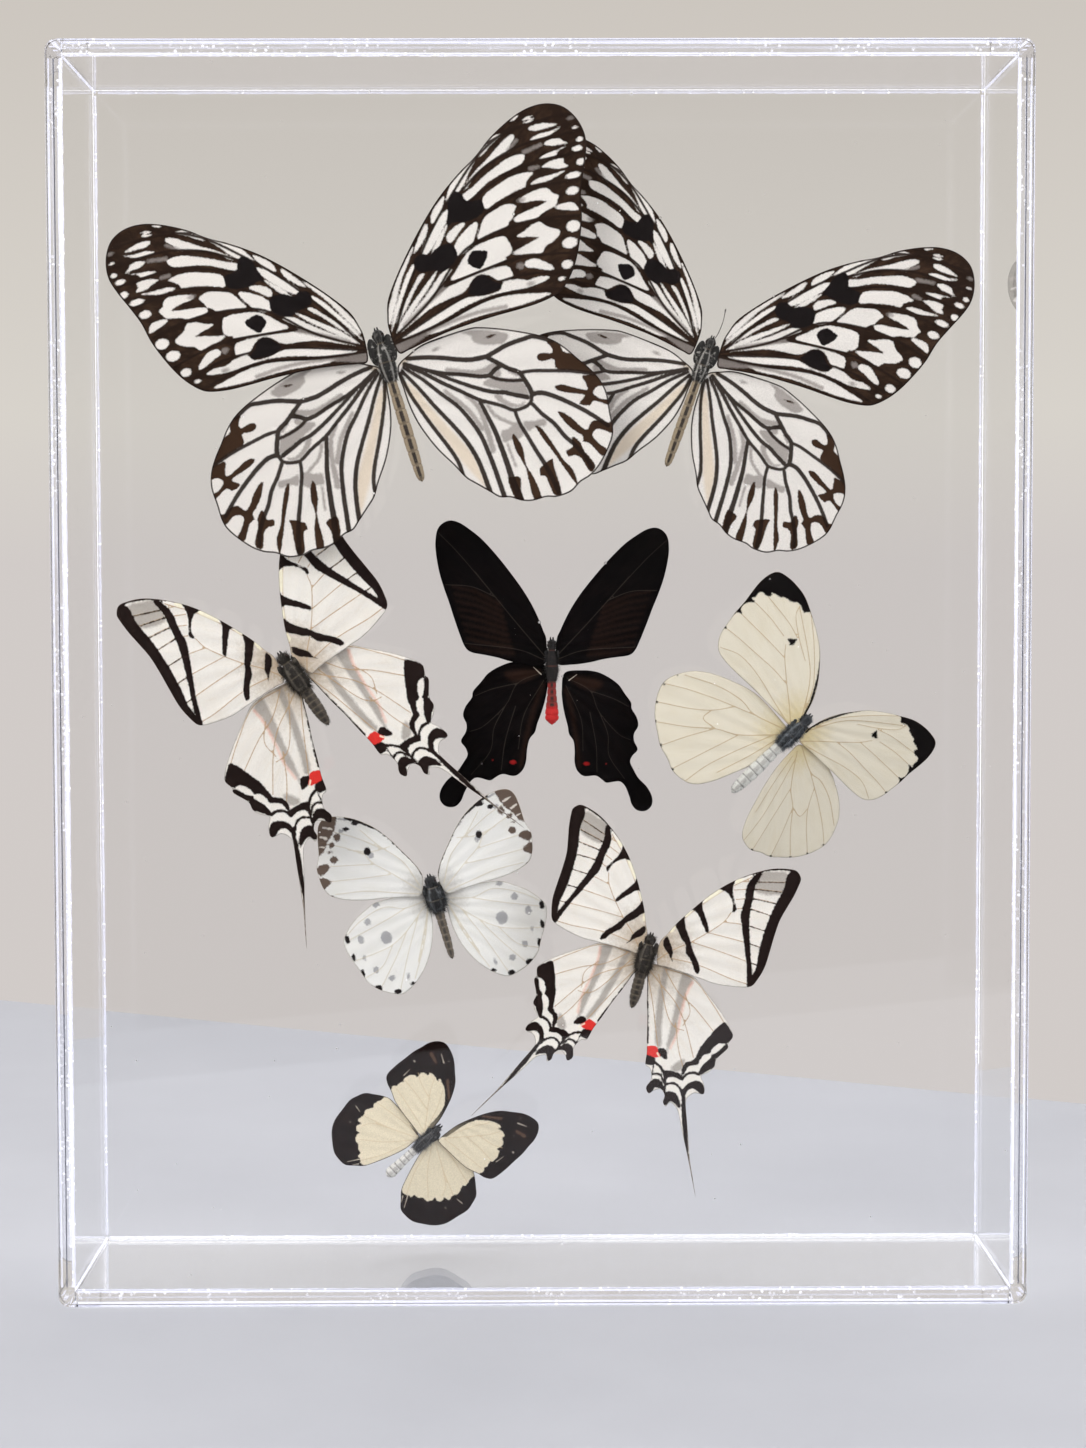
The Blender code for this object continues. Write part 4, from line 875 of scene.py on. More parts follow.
def draw_wing(kind, which):
    """A wing's flat net of triangles and, at every corner, its distance to each marking."""
    outline = smooth_path((FOREWINGS if which == "fore" else HINDWINGS)[kind], 0.4, closed=True)
    marks = MARKINGS[kind, which]
    low, high = outline.min(axis=0), outline.max(axis=0)
    rows = np.arange(low[1], high[1], GRID * 0.87)
    columns = np.arange(low[0], high[0], GRID)
    grid = np.array([(x + GRID / 2 * (i % 2), y) for i, y in enumerate(rows) for x in columns])
    grid = grid[gap_to_loop(grid, outline) < -0.22]
    paths = []
    for field in ("vein", "dark", "brown", "grey", "light", "pink"):
        for mark in marks.get(field, ()):
            if mark[0] == "line" and (field == "vein" or min(mark[1:3]) < 0.4):
                path = smooth_path(mark[3], VEIN_STEP)
                paths.append(path[gap_to_loop(path, outline) < -0.15])
    for path in paths:
        if len(path) > 1:
            grid = grid[gap_to_line(grid, path[::2], 0, 0) > 0.17]
    corners = [tuple(p) for p in outline]
    loop = list(range(len(corners)))
    edges = []
    for path in paths:
        start = len(corners)
        corners += [tuple(p) for p in path]
        spans = np.linalg.norm(np.diff(path, axis=0), axis=1) if len(path) > 1 else []
        edges += [(start + i, start + i + 1) for i, span in enumerate(spans) if span < 2 * VEIN_STEP]
    corners += [tuple(p) for p in grid]
    flat, _, faces, _, _, _ = delaunay_2d_cdt([Vector(p) for p in corners], edges, [loop], 1, 1e-5)
    flat = np.array([tuple(p) for p in flat])
    triangles = np.array([tuple(f) for f in faces if len(f) == 3])
    a, b, c = (flat[triangles[:, i]] for i in range(3))
    turning = (b - a)[:, 0] * (c - a)[:, 1] - (b - a)[:, 1] * (c - a)[:, 0]
    triangles[turning < 0] = triangles[turning < 0][:, ::-1]
    fields = {}
    for field in FIELDS:
        gap = np.full(len(flat), FAR)
        for mark in marks.get(field, ()):
            gap = np.minimum(gap, gap_to_mark(flat, mark))
        fields[field] = gap
    fields["margin"] = -gap_to_loop(flat, outline)
    return flat, triangles, fields


def rim_edges(triangles):
    """The directed edges that only one triangle has."""
    sides = np.vstack([triangles[:, [0, 1]], triangles[:, [1, 2]], triangles[:, [2, 0]]])
    seen = {(a, b) for a, b in sides.tolist()}
    return np.array([(a, b) for a, b in sides.tolist() if (b, a) not in seen])


def mesh_piece(name, corners, faces, body="root", smooth=True):
    """A piece in the case's own frame, from corners in metres."""
    mesh = bpy.data.meshes.new(name)
    mesh.from_pydata(corners, [], faces)
    mesh.polygons.foreach_set("use_smooth", [smooth] * len(mesh.polygons))
    mesh.update()
    piece = bpy.data.objects.new(name, mesh)
    bpy.context.scene.collection.objects.link(piece)
    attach(piece, body)
    return piece


def give_field(piece, name, values):
    """Keeps a number, or a vector, at every corner of a piece for its finish to read."""
    values = np.asarray(values, np.float32)
    kind, key = ("FLOAT", "value") if values.ndim == 1 else ("FLOAT_VECTOR", "vector")
    piece.data.attributes.new(name, kind, "POINT").data.foreach_set(key, values.ravel())


def body_frame(centre, heading):
    """Local x to the insect's right as seen from the front, y to its head, z to the front."""
    across, up, back = (value * MM for value in centre)
    turn = math.radians(heading)
    right = Vector((math.cos(turn), 0, -math.sin(turn)))
    head = Vector((math.sin(turn), 0, math.cos(turn)))
    matrix = Matrix((right, head, right.cross(head))).transposed().to_4x4()
    return Matrix.Translation((across, back, up)) @ matrix


def placed(frame_matrix, local):
    """Local millimetres as metres in the case's frame."""
    matrix = np.array(frame_matrix)
    return local * MM @ matrix[:3, :3].T + matrix[:3, 3]


def camber(x, y):
    """The soft curl of a dried wing: its tip and trailing parts drift from its plane."""
    return 0.5 * np.sin(y / 11.0 + 0.6) * (x / 30.0) - 0.9 * (x / 45.0) ** 2


def build_wing(name, kind, which, side, pose, frame_matrix, seed):
    turn, fold, across, along, shift = pose
    flat, triangles, fields = DRAWINGS[kind, which]
    hinge = np.array(FORE_HINGE if which == "fore" else HIND_HINGE)
    spread = (flat - hinge) * (across, along)
    angle = math.radians(turn)
    x = spread[:, 0] * math.cos(angle) - spread[:, 1] * math.sin(angle)
    y = spread[:, 0] * math.sin(angle) + spread[:, 1] * math.cos(angle)
    droop = math.radians(fold)
    layer = WING_LAYER if which == "fore" else -WING_LAYER
    rise = VEIN_HEIGHT * np.exp(-np.clip(fields["vein"] + 0.3, 0, 3) ** 2 / 0.12)
    pleat = 0.1 * np.sin(np.arctan2(flat[:, 1] - hinge[1], flat[:, 0] + 4) * 34)
    rise += pleat * np.clip(fields["margin"], 0, 2) / 2
    x_out = x * math.cos(droop) + hinge[0] + shift[0]
    z = -x * math.sin(droop) + layer + camber(x, y) + rise
    y_out = y + hinge[1] + shift[1]
    front = np.column_stack([side * x_out, y_out, z + MEMBRANE / 2])
    back = front - (0, 0, MEMBRANE)
    count = len(flat)
    rim = rim_edges(triangles)
    faces = triangles.tolist() + (triangles[:, ::-1] + count).tolist()
    faces += [(b, a, a + count, b + count) for a, b in rim.tolist()]
    if side < 0:
        faces = [face[::-1] for face in faces]
    corners = placed(frame_matrix, np.vstack([front, back]))
    piece = mesh_piece(name + "_membrane", corners, faces)
    for field, values in fields.items():
        if field == "vein" or field == "margin" or field in drawn_on(kind):
            give_field(piece, field, np.tile(values, 2))
    reach = np.hypot(*(flat - hinge).T)
    ray = np.arctan2(flat[:, 1] - hinge[1], flat[:, 0] + 3.0)
    height = np.repeat([0.0, 1.0], count)
    give_field(piece, "drawing", np.column_stack([np.tile(flat, (2, 1)), seed + height * 0.3]))
    give_field(piece, "ray", np.column_stack([np.tile(ray * 25, 2), np.tile(reach * 0.16, 2),
                                              np.full(2 * count, seed)]))
    give_field(piece, "reach", np.tile(reach, 2))
    piece.data.materials.append(WING_FINISHES[kind].material)
    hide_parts(name)
    return piece


# Each wing's ground, its mottling (also the tone of the painted shading along its pleats), the tint at
# its root and how far that reaches (mm), its edge line and that line's width (mm), then its markings
# from the bottom up: colour, how soft and how ragged the edge is (mm) and how strongly it covers.
WING_LOOKS = {
    "kite": ((0.020, 0.011, 0.007), (0.070, 0.038, 0.022), (0.05, 0.04, 0.03), 3, (0.02, 0.012, 0.009),
             0.45, [
        ("light", (0.62, 0.59, 0.555), 0.15, 0.30, 1.0),
        ("tan", (0.56, 0.46, 0.34), 0.5, 0.3, 0.7),
        ("grey", (0.21, 0.185, 0.17), 0.25, 0.4, 0.75),
        ("brown", (0.035, 0.018, 0.010), 0.13, 0.3, 1.0),
        ("vein", (0.016, 0.009, 0.006), 0.15, 0.16, 0.97),
        ("dark", (0.008, 0.006, 0.006), 0.14, 0.3, 1.0)]),
    "swordtail": ((0.76, 0.73, 0.68), (0.72, 0.66, 0.57), (0.30, 0.20, 0.10), 9, (0.10, 0.07, 0.05), 0.14, [
        ("grey", (0.26, 0.235, 0.21), 0.3, 0.4, 0.8),
        ("pink", (0.62, 0.33, 0.25), 0.3, 0.3, 0.6),
        ("vein", (0.36, 0.24, 0.13), 0.08, 0.1, 0.85),
        ("dark", (0.012, 0.007, 0.006), 0.12, 0.3, 1.0),
        ("red", (0.55, 0.03, 0.025), 0.1, 0.3, 1.0),
        ("light", (0.72, 0.66, 0.50), 0.1, 0.15, 0.8)]),
    "black": ((0.0016, 0.0011, 0.0012), (0.006, 0.0032, 0.0026), (0.001, 0.0008, 0.0008), 5,
              (0.001, 0.0008, 0.0008), 0.4, [
        ("grey", (0.016, 0.007, 0.004), 0.6, 0.6, 0.8),
        ("vein", (0.05, 0.04, 0.032), 0.06, 0.05, 0.35),
        ("red", (0.22, 0.008, 0.008), 0.15, 0.2, 0.9),
        ("light", (0.4, 0.36, 0.3), 0.05, 0.05, 0.9)]),
    "white": ((0.645, 0.60, 0.495), (0.59, 0.53, 0.40), (0.52, 0.42, 0.20), 7, (0.12, 0.085, 0.05), 0.14, [
        ("vein", (0.34, 0.25, 0.14), 0.07, 0.08, 0.75),
        ("dark", (0.004, 0.003, 0.003), 0.15, 0.35, 1.0)]),
    "spotted": ((0.75, 0.745, 0.72), (0.70, 0.685, 0.62), (0.30, 0.28, 0.25), 5, (0.3, 0.24, 0.16), 0.14, [
        ("grey", (0.26, 0.26, 0.27), 0.15, 0.5, 0.85),
        ("vein", (0.48, 0.42, 0.30), 0.08, 0.08, 0.6),
        ("brown", (0.075, 0.045, 0.03), 0.15, 0.5, 0.95),
        ("light", (0.60, 0.56, 0.50), 0.12, 0.3, 0.9),
        ("dark", (0.015, 0.012, 0.012), 0.12, 0.4, 1.0)]),
    "bordered": ((0.007, 0.0032, 0.0026), (0.018, 0.008, 0.006), (0.2, 0.17, 0.12), 4, (0.02, 0.012, 0.01),
                 0.2, [
        ("cream", (0.57, 0.51, 0.385), 0.12, 0.35, 1.0),
        ("vein", (0.45, 0.34, 0.20), 0.06, 0.06, 0.45),
        ("brown", (0.10, 0.055, 0.035), 0.2, 0.4, 0.7),
        ("dark", (0.04, 0.022, 0.016), 0.1, 0.1, 0.9),
        ("light", (0.5, 0.44, 0.36), 0.1, 0.1, 0.7)]),
}


def drawn_on(kind):
    """The markings that either wing of this kind has."""
    return {field for which in ("fore", "hind") for field in MARKINGS[kind, which]}


def make_wing_finish(kind):
    """Rows of dusty scales over a ground colour, with ragged markings and raised veins."""
    ground, mottle, root, root_reach, edge, edge_width, markings = WING_LOOKS[kind]
    finish = Finish(kind + " wing scales", Specular_IOR_Level=0.04)
    where = finish.field("drawing", "Vector")
    ray = finish.field("ray", "Vector")
    wander = finish.noise(where, 1.7, 3.0, 0.65) - 0.5
    dust = finish.noise(where, 5.2, 2.0)
    streaks = finish.noise(ray, 1.6, 4.0, 0.6)
    cloud = finish.noise(where, 0.16, 3.0)
    # Mottle and painted pleat shade: the cloud gives the wing random tone, while the streaks along its rays
    # paint light and shade where its pleats rise and fall.
    mottle_and_pleat_shade = ((streaks - 0.42) * 1.9 + (cloud - 0.5) * 1.4).clamped()
    colour = finish.mix(mottle_and_pleat_shade * 0.75, ground, mottle)
    reach = finish.field("reach")
    near_root = (1.1 - reach / root_reach + wander * 0.9).clamped()
    colour = finish.mix(near_root * 0.75, colour, root)
    for field, paint, soft, ragged, strength in markings:
        if field not in drawn_on(kind):
            continue
        gap = finish.field(field) + wander * (2 * ragged)
        covered = ((soft - gap) / (2 * soft)).clamped()
        tone = finish.mix(dust * 0.6, paint, tuple(min(1.0, 1.5 * c + 0.001) for c in paint))
        colour = finish.mix(covered * strength, colour, tone)
    rim = ((edge_width - finish.field("margin") + wander * 0.2) / 0.16).clamped()
    colour = finish.mix(rim * 0.9, colour, edge)
    grain = 0.84 + dust * 0.32
    grey_grain = finish.node("ShaderNodeCombineXYZ", None, {0: grain, 1: grain, 2: grain})
    colour = finish.mix(1.0, colour, grey_grain, "MULTIPLY")
    finish.set("Base Color", colour)
    finish.set("Roughness", 0.5 + dust * 0.25)
    ridge = (0.35 - finish.field("vein")).clamped() + streaks * 0.5 + dust * 0.22
    finish.bump(ridge, 0.55, 0.00012)
    return finish


# Each body's colours: head and thorax, their pale marks, the abdomen, its back stripe, the skin
# between its segments and the eyes.
BODY_LOOKS = {
    "kite": ((0.008, 0.007, 0.006), (0.42, 0.40, 0.37), (0.30, 0.235, 0.155), (0.02, 0.013, 0.01),
             (0.12, 0.09, 0.06), (0.02, 0.012, 0.01)),
    "swordtail": ((0.018, 0.014, 0.011), (0.13, 0.11, 0.085), (0.075, 0.06, 0.045), (0.015, 0.012, 0.01),
                  (0.16, 0.13, 0.09), (0.02, 0.012, 0.01)),
    "black": ((0.004, 0.003, 0.003), (0.02, 0.014, 0.012), (0.24, 0.016, 0.012), (0.02, 0.008, 0.007),
              (0.10, 0.03, 0.02), (0.01, 0.006, 0.006)),
    "white": ((0.018, 0.02, 0.023), (0.17, 0.19, 0.21), (0.62, 0.62, 0.58), (0.42, 0.41, 0.38),
              (0.13, 0.12, 0.11), (0.03, 0.03, 0.03)),
    "spotted": ((0.012, 0.012, 0.013), (0.13, 0.14, 0.15), (0.14, 0.11, 0.08), (0.05, 0.045, 0.04),
                (0.22, 0.19, 0.15), (0.03, 0.02, 0.02)),
    "bordered": ((0.012, 0.012, 0.013), (0.16, 0.16, 0.165), (0.66, 0.65, 0.62), (0.45, 0.44, 0.42),
                 (0.12, 0.11, 0.10), (0.03, 0.02, 0.02)),
}

# Each body's build: where its thorax and abdomen begin along it, how many segments the abdomen
# has, and its eyes' radius and their places outward and along it.
BODY_BUILD = {
    "kite": (6.2, -2.8, 8, 0.62, 0.82, 8.0),
    "swordtail": (3.3, -3.6, 7, 0.6, 0.8, 4.5),
    "black": (3.2, -4.2, 7, 0.52, 0.62, 4.4),
    "white": (3.6, -3.4, 8, 0.6, 0.78, 4.9),
    "spotted": (3.2, -2.8, 7, 0.6, 0.8, 4.8),
    "bordered": (1.4, -4.0, 7, 0.42, 0.52, 2.5),
}

# Each body's hair: how many strands, their length (mm), and how much of it is pale.
HAIR = {
    "kite": (1500, 0.8, 0.35), "swordtail": (2400, 1.4, 0.25), "black": (1200, 0.9, 0.05),
    "white": (2400, 1.3, 0.6), "spotted": (2200, 1.3, 0.4), "bordered": (1700, 1.0, 0.5),
}

# Where each body's shoulders, which carry the forewings, stand: outward and along it, and how far
# they reach in those two directions.
SHOULDERS = {
    "kite": (2.0, 4.7, 1.25, 3.2), "swordtail": (1.8, 2.5, 0.7, 1.6), "black": (1.4, 2.3, 0.6, 1.7),
    "white": (1.6, 2.5, 0.8, 1.8), "spotted": (1.9, 2.5, 0.7, 1.7), "bordered": (1.2, 1.4, 0.7, 1.5),
}

# The end of an abdomen that has its own colour: where it begins along the body, and the colour.
BODY_TIPS = {"black": (-9.8, (0.50, 0.012, 0.012))}


def body_radius(kind, y):
    profile = smooth_path([(along, radius) for radius, along in BODIES[kind]], 0.3)
    order = np.argsort(profile[:, 0])
    return np.maximum(np.interp(y, profile[order, 0], profile[order, 1]), 0.02)


def groove_distance(kind, y):
    """How far along the body it is to the nearest joint between two segments."""
    neck, waist, segments = BODY_BUILD[kind][:3]
    tail = BODIES[kind][-1][1]
    joints = np.append(np.linspace(waist, tail + 0.8, segments), [neck, (neck + waist) / 2])
    return np.abs(np.asarray(y)[..., None] - joints).min(axis=-1)


def ball(middle, radii, around=14, up=8):
    """A closed ball as corners and faces, its poles along y."""
    corners = [(0, 1, 0)]
    for i in range(1, up):
        tilt = math.pi * i / up
        for j in range(around):
            turn = 2 * math.pi * j / around
            corners.append((math.sin(tilt) * math.cos(turn), math.cos(tilt),
                            math.sin(tilt) * math.sin(turn)))
    corners.append((0, -1, 0))
    last = len(corners) - 1
    faces = [(0, 1 + (j + 1) % around, 1 + j) for j in range(around)]
    for i in range(up - 2):
        ring = 1 + i * around
        for j in range(around):
            k = (j + 1) % around
            faces.append((ring + j, ring + k, ring + around + k, ring + around + j))
    ring = last - around
    faces += [(last, ring + j, ring + (j + 1) % around) for j in range(around)]
    return np.array(corners) * radii + middle, faces


def build_body(name, kind, size, frame_matrix, seed):
    waist, _, eye, eye_x, eye_y = BODY_BUILD[kind][1:]
    top, tail = BODIES[kind][0][1], BODIES[kind][-1][1]
    sides = SHELL_SIDES
    y = np.append(np.arange(top, tail, -RING_STEP), tail)
    radius = body_radius(kind, y)
    groove = groove_distance(kind, y)
    depth = np.where(y < waist, 0.13, 0.08)
    radius = radius * (1.03 - depth * np.exp(-(groove / 0.2) ** 2))
    wobble = 1 + 0.012 * np.sin(y * 5.1 + seed)
    turn = np.linspace(0, 2 * np.pi, sides, endpoint=False)
    ridged = 1 + 0.05 * np.cos(3 * turn + 0.4)[None, :] * (y > waist)[:, None]
    x_all = (radius * wobble)[:, None] * np.cos(turn) * ridged
    z_all = (radius * 0.94)[:, None] * np.sin(turn) * ridged
    corners = np.column_stack([x_all.ravel(), np.repeat(y, sides), z_all.ravel()])
    faces = []
    for i in range(len(y) - 1):
        for j in range(sides):
            k = (j + 1) % sides
            faces.append((i * sides + j, i * sides + k, (i + 1) * sides + k, (i + 1) * sides + j))
    faces.append(tuple(range(sides - 1, -1, -1)))
    faces.append(tuple(range((len(y) - 1) * sides, len(y) * sides)))
    across = np.tile(np.cos(turn), len(y))
    eyes = np.zeros(len(corners))
    joint = np.repeat(groove, sides)
    extras = [((side * eye_x, eye_y, 0.25), (eye, eye * 1.15, eye), 1.0) for side in (-1, 1)]
    extras += [((side * 0.3, top - 0.1, 0.1), (0.22, 0.75, 0.24), 0.0) for side in (-1, 1)]
    reach_x, reach_y, wide, long = SHOULDERS[kind]
    extras += [((side * reach_x, reach_y, 0.1), (wide, long, 0.55), 0.0) for side in (-1, 1)]
    for middle, radii, is_eye in extras:
        more, loops = ball(middle, radii)
        faces += [tuple(len(corners) + i for i in loop) for loop in loops]
        corners = np.vstack([corners, more])
        across = np.append(across, np.zeros(len(more)))
        eyes = np.append(eyes, np.full(len(more), is_eye))
        joint = np.append(joint, np.full(len(more), 9.0))
    piece = mesh_piece(name + "_segments", placed(frame_matrix, corners * size), faces)
    give_field(piece, "drawing", corners + (0, 0, seed))
    give_field(piece, "along", corners[:, 1])
    give_field(piece, "across", across)
    give_field(piece, "joint", joint)
    give_field(piece, "eye", eyes)
    piece.data.materials.append(BODY_FINISHES[kind].material)
    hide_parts(name + "_body")


def make_body_finish(kind):
    """Horny plates, pale flecks and stripes on the thorax, a ringed abdomen and glossy eyes."""
    dark, pale, abdomen, stripe, skin, eye = BODY_LOOKS[kind]
    waist = BODY_BUILD[kind][1]
    finish = Finish(kind + " body shell", Specular_IOR_Level=0.4)
    where = finish.field("drawing", "Vector")
    along = finish.field("along")
    across = finish.field("across")
    fine = finish.noise(where, 4.0, 4.0, 0.6)
    broad = finish.noise(where, 0.9, 3.0)
    off_centre = across.math("ABSOLUTE", across)
    flecks = ((broad - 0.56) * 9).clamped() * 0.7
    bands = ((off_centre - 0.36 + (fine - 0.5) * 0.3) * 9).clamped() * ((0.72 - off_centre) * 9).clamped()
    head = ((along - BODY_BUILD[kind][0]) * 2).clamped()
    front = finish.mix((flecks + bands * 0.55).clamped() * (1 - head * 0.8), dark, pale)
    middle = ((0.42 - off_centre + (fine - 0.5) * 0.35) * 6).clamped()
    joints = (finish.field("joint") * 1.6).clamped()
    rear = finish.mix(middle * (0.3 + joints * 0.7), abdomen, stripe)
    rear = finish.mix(((fine - 0.5) * 3).clamped() * 0.5, rear, tuple(c * 0.45 for c in abdomen))
    colour = finish.mix(((waist - along) * 2 + (fine - 0.5)).clamped(), front, rear)
    crease = (1 - finish.field("joint") * 4).clamped()
    colour = finish.mix(crease * 0.75, colour, skin)
    if kind in BODY_TIPS:
        begins, paint = BODY_TIPS[kind]
        colour = finish.mix(((begins - along) * 2 + (fine - 0.5) * 2).clamped(), colour, paint)
    is_eye = finish.field("eye")
    colour = finish.mix(is_eye, colour, eye)
    finish.set("Base Color", colour)
    finish.set("Roughness", 0.62 + fine * 0.25 - is_eye * 0.5)
    cells = finish.node("ShaderNodeTexVoronoi", None, {"Vector": where, "Scale": 9.0})
    finish.bump(fine * 0.7 + cells * 0.5 - crease * 0.4, 0.6, 0.00012)
    return finish


def strands(roots, ways, lengths, width, bend, chance):
    """Tapered, bent hairs as closed shells: corners and faces."""
    corners, faces = [], []
    for root, way, length in zip(roots, ways, lengths):
        way = way / np.linalg.norm(way)
        aside = np.cross(way, (0.31, 0.55, 0.77))
        aside = aside / np.linalg.norm(aside)
        other = np.cross(way, aside)
        sag = np.array([chance.uniform(-1, 1), chance.uniform(-1, 0.2),
                        chance.uniform(-0.7, 0.2)]) * bend * length
        start = len(corners)
        for share, thick in ((0.0, 1.0), (0.5, 0.7)):
            middle = root + way * length * share + sag * share ** 2
            for turn in (0.0, 2.1, 4.2):
                corners.append(middle + (aside * math.cos(turn) + other * math.sin(turn)) * width * thick)
        corners.append(root + way * length + sag)
        faces.append((start + 2, start + 1, start))
        for i in range(3):
            j = (i + 1) % 3
            faces.append((start + i, start + j, start + 3 + j, start + 3 + i))
            faces.append((start + 3 + i, start + 3 + j, start + 6))
    return np.array(corners), faces


def build_hair(name, kind, size, frame_matrix, seed):
    count, length, _ = HAIR[kind]
    chance = random.Random(seed)
    neck, waist = BODY_BUILD[kind][:2]
    top, tail = BODIES[kind][0][1], BODIES[kind][-1][1]
    roots, ways, lengths = [], [], []
    for _ in range(count):
        pick = chance.random()
        turn = chance.uniform(0, 2 * math.pi)
        if pick < 0.62:
            y, share = chance.uniform(waist, neck + 0.6), 1.0
        elif pick < 0.76:
            y, share = chance.uniform(neck, top - 0.15), 0.6
        else:
            y, share = chance.uniform(tail + 0.4, waist), 0.35
        radius = float(body_radius(kind, y)) * 0.97
        out = np.array([math.cos(turn), 0.0, math.sin(turn) * 0.94])
        lean = 0.9 if y < neck else -0.5
        way = out * chance.uniform(0.35, 0.9) + (0, -lean, 0)
        way = way + [chance.uniform(-0.35, 0.35) for _ in range(3)]
        roots.append(out * radius + (0, y, 0))
        ways.append(way)
        lengths.append(length * share * chance.uniform(0.4, 1.1))
    for _ in range(count // 5):
        side = chance.choice((-1, 1))
        y = chance.uniform(waist * 0.6, neck - 0.6)
        level = chance.choice((1, 1, -1))
        root = np.array([side * float(body_radius(kind, y)) * 0.8, y, level * 0.75])
        way = np.array([side, chance.uniform(-0.55, 0.35), level * chance.uniform(-0.03, 0.2)])
        roots.append(root)
        ways.append(way)
        lengths.append(length * chance.uniform(0.5, 1.3))
    corners, faces = strands(roots, ways, lengths, HAIR_WIDTH, HAIR_BEND, chance)
    piece = mesh_piece(name + "_hair", placed(frame_matrix, corners * size), faces)
    tint = np.repeat([chance.random() for _ in roots], 7)
    tip = np.tile([0, 0, 0, 0.5, 0.5, 0.5, 1.0], len(roots))
    give_field(piece, "tint", tint)
    give_field(piece, "tip", tip)
    give_field(piece, "drawing", corners)
    piece.data.materials.append(HAIR_FINISHES[kind].material)


def make_hair_finish(kind):
    dark, pale = BODY_LOOKS[kind][:2]
    share = HAIR[kind][2]
    finish = Finish(kind + " body hair", Specular_IOR_Level=0.3)
    tint = finish.field("tint")
    cloud = finish.noise(finish.field("drawing", "Vector"), 0.7, 2.0)
    light = ((tint * 0.6 + cloud * 0.7 - 1.0 + share * 0.75) * 4).clamped()
    colour = finish.mix(light, dark, pale)
    colour = finish.mix(finish.field("tip") * 0.15, colour, pale)
    finish.set("Base Color", colour)
    finish.set("Roughness", 0.5 + tint * 0.3)
    return finish


def tube(path, radii, sides=8):
    """A closed tapered tube along a path."""
    path = np.array(path, float)
    corners, faces = [], []
    for i, (point, radius) in enumerate(zip(path, radii)):
        way = path[min(i + 1, len(path) - 1)] - path[max(i - 1, 0)]
        way = way / np.linalg.norm(way)
        aside = np.cross(way, (0, 0, 1.0))
        aside = aside / np.linalg.norm(aside)
        other = np.cross(aside, way)
        for j in range(sides):
            turn = 2 * math.pi * j / sides
            corners.append(point + (aside * math.cos(turn) + other * math.sin(turn)) * radius)
    for i in range(len(path) - 1):
        for j in range(sides):
            k = (j + 1) % sides
            faces.append((i * sides + j, i * sides + k, (i + 1) * sides + k, (i + 1) * sides + j))
    faces.append(tuple(range(sides - 1, -1, -1)))
    faces.append(tuple(range((len(path) - 1) * sides, len(path) * sides)))
    return np.array(corners), faces


def build_antenna(name, kind, frame_matrix, points, thickness):
    path = smooth_path(points, 0.35)
    share = np.linspace(0, 1, len(path))
    radii = thickness * (1 + 0.12 * np.sin(np.arange(len(path)) * 2.1)) * (1 + 0.9 * (share > 0.9))
    corners, faces = tube(path, radii)
    piece = mesh_piece(name, placed(frame_matrix, corners), faces)
    give_field(piece, "drawing", corners)
    give_field(piece, "tint", np.repeat(share, 8))
    give_field(piece, "tip", np.repeat(share, 8))
    piece.data.materials.append(HAIR_FINISHES[kind].material)


def make_acrylic():
    """Clear cast sheet with faint wipe marks and specks of dust."""
    finish = Finish("clear cast acrylic", Transmission_Weight=1.0, IOR=1.33)
    where = finish.node("ShaderNodeTexCoord", None, None, 3)
    wipes = finish.node("ShaderNodeMapping", None, {"Vector": where, "Scale": (1.0, 1.0, 7.0),
                                                    "Rotation": (0.0, 0.6, 0.0)})
    marks = finish.noise(wipes, 60.0, 5.0, 0.7)
    specks = finish.node("ShaderNodeTexVoronoi", None, {"Vector": where, "Scale": 120.0})
    speck = ((0.035 - specks) * 60).clamped()
    finish.set("Roughness", ((marks - 0.66) * 0.2).clamped() + speck * 0.35)
    finish.set("Base Color", finish.mix(speck * 0.35, (0.997, 0.998, 1.0), (0.8, 0.8, 0.82)))
    finish.bump(marks * 0.03 + speck, 0.15, 0.00005)
    return finish


def make_cement():
    """Solvent cement in the joints: a clear film with rows of bubbles, given a painted glow that is
    brighter along its edges (a painted highlight) and a painted dark line of shade down its middle.
    """
    # The emission below makes the cement glow though it is no lamp: a painted glow.
    finish = Finish("cement with bubbles and painted glow", Specular_IOR_Level=0.7, Emission_Strength=0.22)
    where = finish.node("ShaderNodeTexCoord", None, None, 3)
    run = finish.field("run", "Vector")
    bubbles = finish.node("ShaderNodeTexVoronoi", None, {"Vector": where, "Scale": 700.0})
    patches = finish.noise(where, 70.0, 3.0, 0.6)
    streaks = finish.noise(run, 1.1, 3.0, 0.6)
    across = finish.field("across")
    bead = finish.field("bead")
    # Painted highlight: near its inner and outer edges the film grows more opaque, and so brighter.
    inner = ((0.17 - across + (streaks - 0.5) * 0.06) * 30).clamped()
    outer = ((across - 0.80 + (streaks - 0.5) * 0.06) * 30).clamped()
    middle = across - 0.52
    # Painted shade: a dark, nearly opaque line down the middle of the seam, as deep as the seam's dark
    # field.
    dark = ((0.055 - middle.math("ABSOLUTE", middle)) * 40).clamped() * finish.field("dark")
    bubble = ((0.30 - bubbles) * 8).clamped() * ((patches - 0.50 + inner * 0.12) * 14).clamped()
    film = (streaks - 0.5).clamped() * 0.25 + 0.02 + (inner + outer).clamped() * (0.34 - bead * 0.08)
    finish.set("Alpha", (bubble * 0.5 + film + dark * 0.65).clamped())
    # The film's pale colour, which is also its emission, is a painted glow.
    painted_glow = finish.mix(bubble, (0.80, 0.82, 0.97), (0.97, 0.97, 1.0))
    colour = finish.mix(dark, painted_glow, (0.03, 0.035, 0.06))
    finish.set("Base Color", colour)
    finish.set("Emission Color", colour)
    finish.set("Roughness", 0.28 - bubble * 0.15)
    finish.bump(bubble, 0.4, 0.0001)
    return finish


